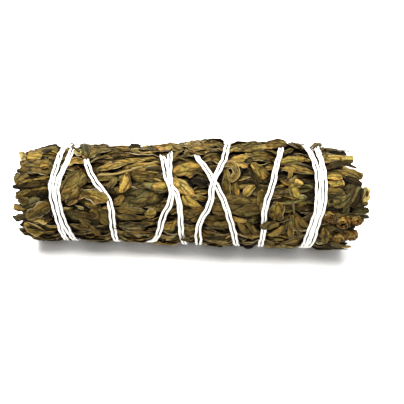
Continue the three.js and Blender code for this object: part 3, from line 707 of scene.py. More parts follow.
def press_down(points, leaves):
    """Keeps leaves inside the bunch's form, under the string and off the floor."""
    x, angle, radius = polar(points)
    over = leaves["over"]
    press = string_press(x, angle) * (1 - over)
    radius = radius - PRESS_GIVE * press - hollow(x, angle)
    full = bunch_radius(x)
    limit = full + PROUD + leaves["told"] * TOLD_RISE + over * OVER_RISE + leaves["free"] * FREE_RISE
    limit = limit - press - hollow(x, angle)
    radius = np.where(radius > limit, limit + RISE_LEFT * (radius - limit), radius)
    radius = radius * reach(x, angle) / full
    points = at(x, angle, np.maximum(radius, 0.1))
    points[..., 2] = np.maximum(points[..., 2], 0.05 + 0.25 * (leaves["grain"] % 1))
    return points


def sunk_shade(points):
    """How deep points lie under the bunch's surface, which the leaf material turns into painted shade."""
    x, angle, radius = polar(points)
    return np.clip(reach(x, angle) - hollow(x, angle) - radius, 0, 3)


def grid_faces(n_along, n_across):
    """Faces of one closed leaf: its upper grid, its lower grid and the rim between them."""
    top, low = np.arange(2 * n_along * n_across).reshape(2, n_along, n_across)
    upper = np.stack([top[:-1, :-1], top[1:, :-1], top[1:, 1:], top[:-1, 1:]], -1).reshape(-1, 4)
    lower = np.stack([low[:-1, :-1], low[:-1, 1:], low[1:, 1:], low[1:, :-1]], -1).reshape(-1, 4)

    def ring(g):
        return np.concatenate([g[0, :-1], g[:-1, -1], g[-1, :0:-1], g[:0:-1, 0]])

    a, b = ring(top), ring(low)
    rim = np.stack([a, np.roll(a, -1), np.roll(b, -1), b], -1)
    return np.vstack([upper, lower, rim])


# Materials of a piece by their place in its list; the string's pieces have one only
LEAF, BARK, INSIDE = 0, 1, 2
COTTON_ONLY = 0

# What each point carries: how near the leaf's edge it is, whether it is on the leaf's back, how high
# it stands in the leaf's folds, and how deep it lies in the bunch
MARKS = ("edge", "back", "relief", "sunk_shade")
NO_TRIANGLES = np.zeros((0, 3), int)


def mesh_block(points, faces, own, marks, colour, material, triangles=NO_TRIANGLES):
    """A part of a piece's mesh, with a leaf's own coordinates, marks and colour at each point."""
    return dict(
        points=points.reshape(-1, 3),
        faces=faces.reshape(-1, 4),
        triangles=triangles,
        own=own.reshape(-1, 3),
        marks=marks.reshape(-1, len(MARKS)),
        colour=np.broadcast_to(colour, points.shape).reshape(-1, 3),
        material=material,
    )


def leaf_block(leaves, n_along, n_across):
    """A mesh block of closed thin leaves."""
    sheet, own, edge, relief, deep = leaf_sheet(leaves, n_along, n_across)
    normal = unit(np.cross(np.gradient(sheet, axis=1), np.gradient(sheet, axis=2)))
    half = LEAF_THICKNESS / 2 * (1.3 - 0.6 * edge[..., None])
    points = np.stack([sheet + normal * half, sheet - normal * half], 1)
    points[..., 2] = np.maximum(points[..., 2], 0.02)
    per_leaf = 2 * n_along * n_across
    faces = grid_faces(n_along, n_across)[None] + per_leaf * np.arange(len(sheet))[:, None, None]

    def on_both_sides(values):
        return np.stack([values, values], 1)

    back = np.stack([np.zeros_like(edge), np.ones_like(edge)], 1)
    marks = np.stack([on_both_sides(edge), back, on_both_sides(relief), on_both_sides(deep)], -1)
    colour = leaves["colour"][:, None, None, None, :]
    return mesh_block(points, faces, on_both_sides(own), marks, colour, LEAF)


def tube_block(middles, radii, outwards, colour, sides=8, material=BARK, lobes=0, pitch=1.0, phase=0.0):
    """A closed tube along middles; lobes give it twisted plies."""
    tangent = unit(np.gradient(middles, axis=0))
    sideways = unit(np.cross(tangent, outwards))
    upright = np.cross(sideways, tangent)
    length = distance_along(middles)
    turn = np.linspace(0, 2 * np.pi, sides, endpoint=False)
    twist = 2 * np.pi * length[:, None] / pitch + phase
    plies = PLY_DEPTH * np.cos(lobes * turn[None] - twist) if lobes else 0 * twist
    size = np.asarray(radii)[:, None] * (1 + plies)
    ring = (sideways[:, None] * (size * np.cos(turn))[..., None]
            + upright[:, None] * (size * np.sin(turn))[..., None])
    points = (middles[:, None] + ring).reshape(-1, 3)
    points = np.vstack([points, middles[0], middles[-1]])
    index = np.arange(len(middles) * sides).reshape(len(middles), sides)
    following = np.roll(index, -1, axis=1)
    faces = np.stack([index[:-1], following[:-1], following[1:], index[1:]], -1)
    first = np.stack([following[0], index[0], np.full(sides, index.size)], -1)
    last = np.stack([index[-1], following[-1], np.full(sides, index.size + 1)], -1)
    own = np.stack(np.broadcast_arrays(length[:, None], turn[None], phase + 0 * twist), -1).reshape(-1, 3)
    own = np.vstack([own, own[0], own[-1]])
    marks = np.zeros((len(points), len(MARKS)))
    return mesh_block(points, faces, own, marks, colour, material, np.vstack([first, last]))


def make_mesh(name, blocks, materials):
    """One mesh object from blocks, with what each point carries as attributes."""
    starts = np.cumsum([0] + [len(block["points"]) for block in blocks])
    points = np.vstack([block["points"] for block in blocks]) * MM
    groups = [[block[kind] + start for block, start in zip(blocks, starts)]
              for kind in ("faces", "triangles")]
    used = [np.full(len(faces), block["material"])
            for group in groups for faces, block in zip(group, blocks)]
    faces, triangles = (np.vstack(group) for group in groups)
    corners = np.concatenate([faces.ravel(), triangles.ravel()])
    totals = np.concatenate([np.full(len(faces), 4), np.full(len(triangles), 3)])
    mesh = bpy.data.meshes.new(name)
    mesh.vertices.add(len(points))
    mesh.vertices.foreach_set("co", points.astype(np.float32).ravel())
    mesh.loops.add(len(corners))
    mesh.loops.foreach_set("vertex_index", corners.astype(np.int32))
    mesh.polygons.add(len(totals))
    mesh.polygons.foreach_set("loop_start", (np.cumsum(totals) - totals).astype(np.int32))
    mesh.polygons.foreach_set("loop_total", totals.astype(np.int32))
    mesh.polygons.foreach_set("material_index", np.concatenate(used).astype(np.int32))
    mesh.polygons.foreach_set("use_smooth", np.ones(len(totals), bool))

    def add_values(label, kind, key, values):
        layer = mesh.attributes.new(label, kind, "POINT")
        layer.data.foreach_set(key, np.ascontiguousarray(values, np.float32).ravel())

    colour = np.vstack([block["colour"] for block in blocks])
    marks = np.vstack([block["marks"] for block in blocks])
    add_values("own_place", "FLOAT_VECTOR", "vector", np.vstack([block["own"] for block in blocks]))
    add_values("leaf_colour", "FLOAT_COLOR", "color", np.hstack([colour, np.ones((len(colour), 1))]))
    for i, label in enumerate(MARKS):
        add_values(label, "FLOAT", "value", marks[:, i])
    for material in materials:
        mesh.materials.append(material)
    mesh.update(calc_edges=True)
    mesh.validate()
    mesh.set_sharp_from_angle(angle=np.radians(SHARP_FROM))
    thing = bpy.data.objects.new(name, mesh)
    bpy.context.scene.collection.objects.link(thing)
    return thing


# Sprigs

def drawn_leaves(rng, count, tone, **ranges):
    """Leaves drawn by chance: each property from its range, and the tone from its beta distribution."""
    leaves = {name: np.zeros(count) for name in PLAIN_LEAF}
    leaves["inside"] = np.zeros(count)
    leaves["told"] = np.zeros(count)
    for name, (low, high) in ranges.items():
        leaves[name] = rng.uniform(low, high, count)
    leaves["grain"] = rng.uniform(0, 60, count)
    leaves["tone"] = np.clip(0.5 + TONE_SPREAD * (rng.beta(*tone, count) - 0.5), 0, 1)
    green = rng.uniform(-0.7, 1, count)
    leaves["green"] = np.clip(green, 0, 1) * 0.6
    return leaves


def finished(leaves):
    """The same leaves with their colours worked out."""
    leaves["colour"] = leaf_colours(leaves.pop("tone"), leaves.pop("green"))
    return leaves


def surface_layer(rng, k, count, **ranges):
    """Leaves scattered over outer sprig k, mostly lengthwise."""
    leaves = drawn_leaves(rng, count, **ranges)
    spread = (np.arange(count) + rng.uniform(0, 1, count)) / count
    x = LAYERS_FROM + (LAYERS_TO - LAYERS_FROM) * spread
    rng.shuffle(x)
    share = rng.uniform(-0.08, 1.08, count)
    room = leaves["length"] / 2 + rng.uniform(0, 2.5, count)
    angle = outer_seam(k, x) + share * (outer_seam(k + 1, x) - outer_seam(k, x))
    # Painted light: low on the front the leaves are paler and more varied.
    painted_front_light = 1 - smooth_step(from_below(angle), *PAINTED_LIGHT_BETWEEN)
    leaves["tone"] = leaves["tone"] + painted_front_light * (PAINTED_LIGHT_TONE + PAINTED_LIGHT_SPREAD * (leaves["tone"] - 0.5))
    leaves["green"] = leaves["green"] + LOW_FRONT_GREEN * painted_front_light
    x = np.clip(x, end_reach(-1, angle) + room, end_reach(1, angle) - room)
    leaves["x"] = x
    leaves["angle"] = angle
    leaves["radius"] = bunch_radius(x) - leaves["depth"]
    turned = np.where(rng.uniform(0, 1, count) < TURNED_ROUND, 180, 0)
    leaves["heading"] = leaves["heading"] + turned
    return finished(leaves)


def end_layer(rng, seams, radii, sign, count):
    """Leaves that make up an end of the bunch, their tips out."""
    leaves = drawn_leaves(
        rng, count, tone=(4, 4.5), length=(6, 11), width=(2.6, 5.4), fold=(-40, 40), roll=(-0.5, 0.5),
        tilt=(-180, 180), twist=(-70, 70), bend=(-40, 40), wrinkle=(0.15, 0.4), blunt=(0.12, 0.4),
        pitch=(-0.5, 0.5),
    )
    leaves["radius"] = rng.uniform(*radii, count)
    leaves["angle"] = rng.uniform(*seams, count)
    inner = 1 - smooth_step(leaves["radius"], *INNER_TO_OUTER)
    ends = end_reach(sign, leaves["angle"])
    ends = ends + inner * (sign * INNER_END - ends)
    tip = sign * ends - END_DEPTH * rng.uniform(0, 1, count) ** 2
    leaves["x"] = sign * (tip - leaves["length"] / 2)
    leaves["heading"] = (0 if sign > 0 else 180) + rng.normal(0, 13, count)
    leaves["inside"] = (leaves["radius"] < INSIDE_RADIUS).astype(float)
    leaves["tilt"] = np.where(leaves["radius"] > INSIDE_RADIUS, leaves["tilt"] * 0.25, leaves["tilt"])
    return finished(leaves)


def told_rows():
    """Where the leaves that can be told apart lie on the bunch."""
    rows = []
    for i, (root, tip, width, tone, more) in enumerate(TOLD_LEAVES):
        (x0, a0, h0), (x1, a1, h1) = seen(*root), seen(*tip)
        x, angle = (x0 + x1) / 2, (a0 + a1) / 2
        arc = np.radians(a1 - a0) * bunch_radius(x)
        row = PLAIN_LEAF | more
        if "fold" not in more and "roll" not in more:
            row["fold"] = 22 * np.sin(7.3 * i + 1)
        row["pitch"] += (h1 - h0) / 2
        row.update(
            x=x, angle=angle, width=width, tone=tone, inside=0, told=1, grain=7.3 * i + 1,
            free=float(max(h0, h1) > STANDS_FREE),
            heading=np.degrees(np.arctan2(arc, x1 - x0)),
            length=row["stretch"] * np.hypot(arc, x1 - x0),
            radius=bunch_radius(x) - row["depth"] + TOLD_LIFT + (h0 + h1) / 2,
        )
        rows.append(row)
    return rows


def told_leaves(k):
    """The leaves told apart whose middle lies on outer sprig k."""
    rows = [row for row in TOLD_ROWS if outer_sprig_at(row["x"], row["angle"]) == k]
    if not rows:
        return None
    return finished({name: np.array([row[name] for row in rows], float) for name in rows[0]})


def cover_leaves(k):
    """Leaves on outer sprig k that lie over the string."""
    kept = []
    for i, (xs, angles, count) in enumerate(COVERS):
        rng = np.random.default_rng(COVER_SEED + i)
        leaves = drawn_leaves(
            rng, count, tone=(5, 4), length=(3.4, 6.5), width=(2.2, 3.8), heading=(-75, 75), fold=(-15, 15),
            tilt=(-14, 14), twist=(-30, 30), bend=(-35, 35), wrinkle=(0.05, 0.2), blunt=(0.15, 0.5),
            bow=(0.0, 0.2), depth=(-0.75, -0.4),
        )
        leaves["over"] += 1
        leaves["x"] = rng.uniform(*xs, count)
        leaves["angle"] = angles[0] + (angles[1] - angles[0]) * (np.arange(count) + 0.5) / count
        leaves["radius"] = bunch_radius(leaves["x"]) - leaves["depth"]
        leaves = finished(leaves)
        own = np.array([outer_sprig_at(*place) == k for place in zip(leaves["x"], leaves["angle"])])
        kept.append({name: value[own] for name, value in leaves.items()})
    return {name: np.concatenate([leaves[name] for leaves in kept]) for name in kept[0]}


def clear_of_told(leaves, share=0.42):
    """Leaves out the scattered leaves that would lie over one told apart."""
    keep = np.ones(len(leaves["x"]), bool)
    heading = np.radians(leaves["heading"])
    for part in (-0.28, 0, 0.28):
        x = leaves["x"] + part * leaves["length"] * np.cos(heading)
        arc = part * leaves["length"] * np.sin(heading)
        for row in TOLD_ROWS:
            turned = apart_from(leaves["angle"], row["angle"])
            dx, dy = x - row["x"], np.radians(turned) * bunch_radius(row["x"]) + arc
            c, s = np.cos(np.radians(row["heading"])), np.sin(np.radians(row["heading"]))
            along = (dx * c + dy * s) / (row["length"] * share)
            across = (dy * c - dx * s) / (row["width"] * share + leaves["width"] * 0.1)
            keep &= (along ** 2 + across ** 2 > 1) | (leaves["radius"] < INSIDE_RADIUS)
    return {name: value[keep] for name, value in leaves.items()}


TOLD_ROWS = told_rows()


def twig_blocks(k):
    """The twigs that lie on outer sprig k."""
    blocks = []
    for i, (spots, radius, tone) in enumerate(TWIGS):
        route = np.array([seen(*spot)[:2] for spot in spots])
        x, angle = route[len(route) // 2]
        if outer_sprig_at(x, angle) != k:
            continue
        x, angle = smooth_route(route, 10, 0.5)
        middles = at(x, angle, bunch_radius(x) + TWIG_LIFT - string_press(x, angle))
        radii = radius * (1 + 0.12 * np.sin(np.arange(len(x)) * 0.9 + i))
        radii[[0, -1]] *= 0.5
        colour = leaf_colours(np.array([tone]), np.zeros(1))[0]
        blocks.append(tube_block(middles, radii, outward(x, angle), colour))
    return blocks


def wedge_block(seam_low, seam_high, inner, depth):
    """The inside of a sprig, painted dark as shade: a long wedge between its seams."""
    xs = np.linspace(*CORE_ENDS, 40)
    rings = []
    for x in xs:
        close = 1 - 0.35 * smooth_step(abs(x), *CORE_ROUNDED)
        angles = np.linspace(seam_low(x) + 1, seam_high(x) - 1, 7)
        rough = 0.3 * np.sin(1.7 * x + 0.4 * angles)
        outer = np.minimum(bunch_radius(x) - depth + rough, reach(x, angles) - 1.2) * close
        rings.append(np.vstack([at(x, angles, outer), at(x, angles[::-3], np.full(3, inner * close))]))
    points = np.vstack(rings + [rings[0].mean(0), rings[-1].mean(0)])
    sides = len(rings[0])
    index = np.arange(len(xs) * sides).reshape(len(xs), sides)
    following = np.roll(index, -1, axis=1)
    faces = np.stack([index[:-1], index[1:], following[1:], following[:-1]], -1)
    first = np.stack([index[0], following[0], np.full(sides, index.size)], -1)
    last = np.stack([following[-1], index[-1], np.full(sides, index.size + 1)], -1)
    marks = np.zeros((len(points), len(MARKS)))
    return mesh_block(points, faces, points * 0.7, marks, CORE_SHADE_COLOUR, INSIDE, np.vstack([first, last]))


def cut_stem_block(rng, angle, radius):
    """The cut end of a sprig's stem at the left end of the bunch."""
    size = rng.uniform(0.55, 0.95)
    xs = np.array([-41, -43, -44.5, -46, rng.uniform(-48.6, -46.8)])
    xs = np.append(xs, xs[-1] - 0.02)
    middles = at(xs, np.full(6, angle), np.full(6, radius)) + np.outer(xs + 46, (0, 0.03, -0.02))
    radii = size * np.array([1, 1.04, 0.97, 1, 0.98, 0.55])
    return tube_block(middles, radii, np.tile((0.0, 0.0, 1.0), (6, 1)), STEM_COLOUR, sides=12)


def bud_blocks(k):
    """The flower heads on outer sprig k."""
    blocks = []
    for i, (spot, size, tone) in enumerate(FLOWER_BUDS):
        x, angle, _ = seen(*spot)
        if outer_sprig_at(x, angle) == k:
            rng = np.random.default_rng(FLOWER_SEED + i)
            middle = at(x, angle, bunch_radius(x) - 0.05 * size)
            blocks.append(flower_block(rng, middle, outward(x, angle), size, tone))
    return blocks


def flower_block(rng, middle, outwards, size, tone, count=13, n_along=9, n_across=7):
    """A small round flower head: cupped petals that overlap round a dark heart and open outwards."""
    axis = unit(outwards + rng.normal(0, 0.25, 3))
    side = unit(np.cross(axis, (0.3, 0.5, 0.8)))
    front = np.cross(axis, side)
    u = np.linspace(0, 1, n_along)[None, :, None]
    v = np.linspace(-1, 1, n_across)[None, None, :]
    ring = np.arange(count)[:, None, None] / count
    opening = 0.06 + 1.15 * ring + rng.normal(0, 0.12, (count, 1, 1))
    cup = 2.4 - 1.1 * u
    from_axis = np.clip(cup - (cup - opening) * u, 0.1, 2.6)
    width = (0.75 + 0.35 * ring) * np.clip(4 * (0.12 + 0.8 * u) * (1.04 - u), 0.02, 1) ** 0.55
    ragged = 1 + 0.12 * np.sin(9 * u + 7 * ring * count)
    round_axis = GOLDEN_TURN * ring * count + v * width * ragged
    wavy = 0.05 * np.sin(5 * u + 6 * v + ring * 40)
    radius = size * (0.62 + 0.40 * ring + 0.10 * u ** 2 - 0.07 * v ** 2 + wavy)
    across = side * np.cos(round_axis)[..., None] + front * np.sin(round_axis)[..., None]
    direction = axis * np.cos(from_axis)[..., None] + across * np.sin(from_axis)[..., None]
    sheet = middle + direction * radius[..., None]
    sheet[..., 2] = np.maximum(sheet[..., 2], 0.1)
    half = direction * PETAL_THICKNESS / 2
    points = np.stack([sheet + half, sheet - half], 1)
    per_petal = 2 * n_along * n_across
    faces = grid_faces(n_along, n_across)[None, :, ::-1] + per_petal * np.arange(count)[:, None, None]
    tones = np.clip(tone + rng.normal(0, 0.1, count), 0, 1)
    colour = leaf_colours(tones, np.zeros(count)) * FLOWER_TINT
    shape = points.shape
    own = np.stack(np.broadcast_arrays(u * 2 * size, v * size * 0.6, ring * 50), -1)[:, None]
    edge = np.maximum(np.abs(v), u ** 3) + 0 * ring
    # The relief mark is low at the petals' roots, where the leaf material paints shade towards the heart; the
    # edge mark gives the petals painted rims.
    marks = np.stack(np.broadcast_arrays(edge, 0 * u, 0.4 * u - 0.5, 0 * u), -1)[:, None]
    return mesh_block(points, faces, own + np.zeros(shape), marks + np.zeros(shape[:-1] + (len(MARKS),)),
                      colour[:, None, None, None, :], LEAF)


def layer_blocks(rng, k):
    """The leaves all over outer sprig k, from the deepest layer to the loosest."""
    # The deepest layer's tones are drawn dark, as painted shade under the leaves above it.
    deep = surface_layer(
        rng, k, DEEP, tone=(1.2, 6.0), depth=(1.4, 2.0), length=(14, 28), width=(4, 7),
        heading=(-12, 12), fold=(-10, 10), roll=(-0.05, 0.05), tilt=(-8, 8), twist=(-25, 25), bend=(-25, 25),
        wrinkle=(0.2, 0.4), blunt=(0.3, 0.5), bow=(0, 0.3),
    )
    broad = surface_layer(
        rng, k, BROAD, tone=(4.2, 5.6), depth=(0.5, 1.3), length=(10, 21), width=(2.6, 5.2),
        heading=(-13, 13), fold=(-28, 28), roll=(-0.12, 0.12), tilt=(-24, 24), twist=(-40, 40),
        bend=(-30, 30), wrinkle=(0.2, 0.42), blunt=(0.2, 0.5), bow=(0, 0.6), pitch=(-0.3, 0.5),
    )
    middling = surface_layer(
        rng, k, MIDDLING, tone=(5.0, 4.6), depth=(-0.1, 0.7), length=(5, 14), width=(1.5, 3.7),
        heading=(-18, 18), fold=(-38, 38), roll=(-0.25, 0.3), tilt=(-32, 32), twist=(-70, 70), bend=(-45, 45),
        wrinkle=(0.12, 0.3), blunt=(0.22, 0.6), bow=(0, 0.7), pitch=(-0.3, 0.6),
    )
    narrow = surface_layer(
        rng, k, NARROW, tone=(4.6, 3.8), depth=(-0.3, 0.4), length=(3, 11), width=(0.7, 1.8),
        heading=(-26, 26), fold=(-60, 60), roll=(0.0, 0.7), tilt=(-40, 40), twist=(-90, 90), bend=(-60, 60),
        wrinkle=(0.05, 0.15), blunt=(0.45, 0.8), bow=(0, 0.8), pitch=(-0.2, 0.5),
    )
    return [leaf_block(deep, *DEEP_GRID), leaf_block(broad, *BROAD_GRID),
            leaf_block(clear_of_told(middling), *MIDDLING_GRID),
            leaf_block(clear_of_told(narrow), *NARROW_GRID)]


def outer_sprig(k, materials):
    """An outer sprig: its leaves, twigs, flower heads, inside and stem."""
    rng = np.random.default_rng(OUTER_SEED + k)
    seams = (outer_seam(k, 0), outer_seam(k + 1, 0))
    blocks = layer_blocks(rng, k)
    for sign in (-1, 1):
        radii = (INNER_RADIUS, bunch_radius(45.0) - 0.4)
        ends = clear_of_told(end_layer(rng, seams, radii, sign, OUTER_END_LEAVES), 0.16)
        blocks.append(leaf_block(ends, *END_GRID))
    covers = cover_leaves(k)
    if len(covers["x"]):
        blocks.append(leaf_block(covers, *COVER_GRID))
    placed = told_leaves(k)
    if placed:
        blocks.append(leaf_block(placed, *TOLD_GRID))
    blocks += twig_blocks(k)
    blocks += bud_blocks(k)
    blocks.append(wedge_block(lambda x: outer_seam(k, x), lambda x: outer_seam(k + 1, x),
                              INNER_RADIUS + GAP / 2, CORE_DEPTH))
    blocks.append(cut_stem_block(rng, sum(seams) / 2, (INNER_RADIUS + THIN_RADIUS) / 2))
    return make_mesh(f"outer_sprig_{k + 1:02d}_leaves", blocks, materials)


def inner_sprig(k, materials):
    """An inner sprig, with leaves at its two ends only."""
    rng = np.random.default_rng(INNER_SEED + k)
    seams = (inner_seam(k, 0), inner_seam(k + 1, 0))
    blocks = []
    for sign in (-1, 1):
        ends = end_layer(rng, seams, (0.6, INNER_RADIUS), sign, INNER_END_LEAVES)
        blocks.append(leaf_block(ends, *END_GRID))
    blocks.append(wedge_block(lambda x: inner_seam(k, x), lambda x: inner_seam(k + 1, x),
                              INNER_CORE_RADIUS, INNER_CORE_DEPTH))
    blocks.append(cut_stem_block(rng, sum(seams) / 2, INNER_RADIUS / 2))
    return make_mesh(f"inner_sprig_{k + 1}_leaves", blocks, materials)


# String

def strand_routes():
    """The middles of the string's two strands, and the way out of the bunch."""
    angle = -ROUTE_WOUND
    radius = string_radius(ROUTE_X, angle) + string_lift(ROUTE_WOUND) - hollow(ROUTE_X, angle, TUCKED)
    middles = at(ROUTE_X, angle, radius)
    outwards = outward(ROUTE_X, angle)
    sideways = unit(np.cross(np.gradient(middles, axis=0), outwards))
    apart = STRAND_SEEN / 2 + string_gap(ROUTE_WOUND) / 2
    along = np.arange(len(apart)) * STRING_STEP
    together = 0.10 * np.sin(along * 0.47) + 0.07 * np.sin(along * 1.55 + 1)
    routes = []
    for sign in (-1, 1):
        sway = 0.05 * np.sin(along * 0.31 + sign) + 0.03 * np.sin(along * 1.1 + 2 * sign)
        routes.append(middles + sideways * (sign * apart + sway + together)[:, None])
    return routes, outwards


def cotton_string(material):
    """The string's two strands, with its tails and its knot."""
    routes, outwards = strand_routes()
    plies = dict(sides=12, material=COTTON_ONLY, lobes=3, pitch=PLY_PITCH)
    blocks = []
    for i, route in enumerate(routes):
        along = np.arange(len(route)) * STRING_STEP
        radii = STRAND_SEEN / 2 * (1 + 0.06 * np.sin(along * 0.7 + i) + 0.04 * np.sin(along * 1.9 + 3 * i))
        blocks.append(tube_block(route, radii, outwards, COTTON, phase=2.0 * i, **plies))
    for tail in TAILS:
        x, angle = smooth_route(np.array(tail), 12, STRING_STEP)
        middles = at(x, angle, string_radius(x, angle) + STRING_SEAT)
        radii = STRAND / 2 * (1 + TAIL_FRAYED * smooth_step(np.arange(len(x)) / len(x), 0.8, 1))
        blocks.append(tube_block(middles, radii, outward(x, angle), COTTON, **plies))
    blocks.append(knot_block(plies))
    return make_mesh("cotton_string_strands", blocks, [material])


def knot_block(plies):
    """A small round knot where the two ends of the string meet."""
    t = np.linspace(0, 4 * np.pi, 160, endpoint=False)
    swing = 1.5 * t
    size = KNOT_RADIUS * (2 + np.cos(swing)) * 0.5
    shape = np.stack([size * np.cos(t), size * np.sin(t), KNOT_RADIUS * np.sin(swing) * 0.5], -1)
    x, angle = KNOT_AT
    out = outward(x, angle)
    side = np.cross((1.0, 0, 0), out)
    middle = at(x, angle, reach(x, angle) + STRAND)
    middles = middle + shape[:, :1] * (1, 0, 0) + shape[:, 1:2] * side + shape[:, 2:] * out
    outwards = middles - middle + out * 0.01
    return tube_block(middles, np.full(len(t), KNOT_STRAND), outwards, COTTON, **plies)


def string_fuzz(material):
    """Loose fibres that stand off the string."""
    rng = np.random.default_rng(FUZZ_SEED)
    routes, outwards = strand_routes()
    blocks = []
    for _ in range(FIBRES):
        route = routes[rng.integers(2)]
        i = rng.integers(6, len(route) - 6)
        tangent = unit(route[i + 3] - route[i - 3])
        side = np.cross(tangent, outwards[i])
        swing = rng.uniform(-1.4, 1.4)
        away = outwards[i] * np.cos(swing) + side * np.sin(swing)
        start = route[i] + away * STRAND * 0.42
        length, lean = rng.uniform(0.3, 0.9), rng.normal(0, 0.8)
        t = np.linspace(0, 1, 5)[:, None]
        curl = np.sin(t * rng.uniform(1, 4)) * rng.normal(0, 0.15)
        middles = start + length * (t * away * 0.6 + t * tangent * lean + curl * side)
        if middles[:, 2].min() < 0.1:
            continue
        radii = FIBRE_RADIUS * (1.1 - t[:, 0])
        blocks.append(tube_block(middles, radii, np.tile(side + 0.1 * away, (5, 1)), FIBRE_COLOUR,
                                 sides=3, material=COTTON_ONLY))
    return make_mesh("cotton_string_fuzz", blocks, [material])


# Materials

class Graph:
    """Short forms for building a material's nodes."""

    def __init__(self, name):
        self.material = bpy.data.materials.new(name)
        self.material.use_nodes = True
        self.tree = self.material.node_tree
        self.shader = self.tree.nodes["Principled BSDF"]

    def add(self, kind, **settings):
        node = self.tree.nodes.new(kind)
        for name, value in settings.items():
            setattr(node, name, value)
        return node

    def link(self, source, target):
        self.tree.links.new(source, target)

    def attribute(self, name, output="Vector"):
        return self.add("ShaderNodeAttribute", attribute_name=name).outputs[output]

    def scaled(self, vector, scale):
        node = self.add("ShaderNodeMapping")
        node.inputs["Scale"].default_value = scale
        self.link(vector, node.inputs["Vector"])
        return node.outputs["Vector"]

    def noise(self, vector, scale, detail=3, roughness=0.55):
        node = self.add("ShaderNodeTexNoise")
        self.link(vector, node.inputs["Vector"])
        node.inputs["Scale"].default_value = scale
        node.inputs["Detail"].default_value = detail
        node.inputs["Roughness"].default_value = roughness
        return node.outputs["Fac"]

    def bent(self, vector, scale, amount):
        """Scaled coordinates pushed about by noise, so that a pattern in them isn't straight."""
        scaled = self.scaled(vector, scale)
        noise = self.add("ShaderNodeTexNoise")
        self.link(scaled, noise.inputs["Vector"])
        noise.inputs["Scale"].default_value = 1.3
        push = self.add("ShaderNodeVectorMath", operation="SCALE")
        self.link(noise.outputs["Color"], push.inputs[0])
        push.inputs["Scale"].default_value = amount
        total = self.add("ShaderNodeVectorMath", operation="ADD")
        self.link(scaled, total.inputs[0])
        self.link(push.outputs[0], total.inputs[1])
        return total.outputs[0]

    def white_noise(self, value):
        node = self.add("ShaderNodeTexWhiteNoise", noise_dimensions="1D")
        self.link(value, node.inputs["W"])
        return node.outputs["Value"]

    def voronoi(self, vector, scale, feature="F1"):
        node = self.add("ShaderNodeTexVoronoi", feature=feature)
        self.link(vector, node.inputs["Vector"])
        node.inputs["Scale"].default_value = scale
        return node.outputs["Distance"]

    def ranged(self, value, low, high, to_low, to_high):
        node = self.add("ShaderNodeMapRange")
        self.link(value, node.inputs["Value"])
        for name, number in zip(("From Min", "From Max", "To Min", "To Max"), (low, high, to_low, to_high)):
            node.inputs[name].default_value = number
        return node.outputs["Result"]

    def maths(self, operation, first, second):
        node = self.add("ShaderNodeMath", operation=operation)
        for socket, value in zip(node.inputs, (first, second)):
            if isinstance(value, (int, float)):
                socket.default_value = value
            else:
                self.link(value, socket)
        return node.outputs["Value"]

    def mixed(self, factor, first, second, blend="MIX"):
        node = self.add("ShaderNodeMix", data_type="RGBA", blend_type=blend)
        for socket, value in zip((node.inputs[0], node.inputs[6], node.inputs[7]), (factor, first, second)):
            if isinstance(value, (int, float)):
                socket.default_value = value
            elif isinstance(value, tuple):
                socket.default_value = (*value, 1)
            else:
                self.link(value, socket)
        return node.outputs[2]

    def grey(self, value):
        """A grey colour from one value."""
        node = self.add("ShaderNodeCombineColor")
        for socket in node.inputs:
            self.link(value, socket)
        return node.outputs["Color"]

    def dimmed(self, colour, amount):
        return self.mixed(1.0, colour, self.grey(amount), "MULTIPLY")

    def tinted(self, share, colour, tint):
        return self.mixed(share, colour, self.mixed(1.0, colour, tint, "MULTIPLY"))

    def bumped(self, height, distance, strength=1.0, under=None):
        node = self.add("ShaderNodeBump")
        self.link(height, node.inputs["Height"])
        node.inputs["Distance"].default_value = distance
        node.inputs["Strength"].default_value = strength
        if under is not None:
            self.link(under, node.inputs["Normal"])
        return node.outputs["Normal"]


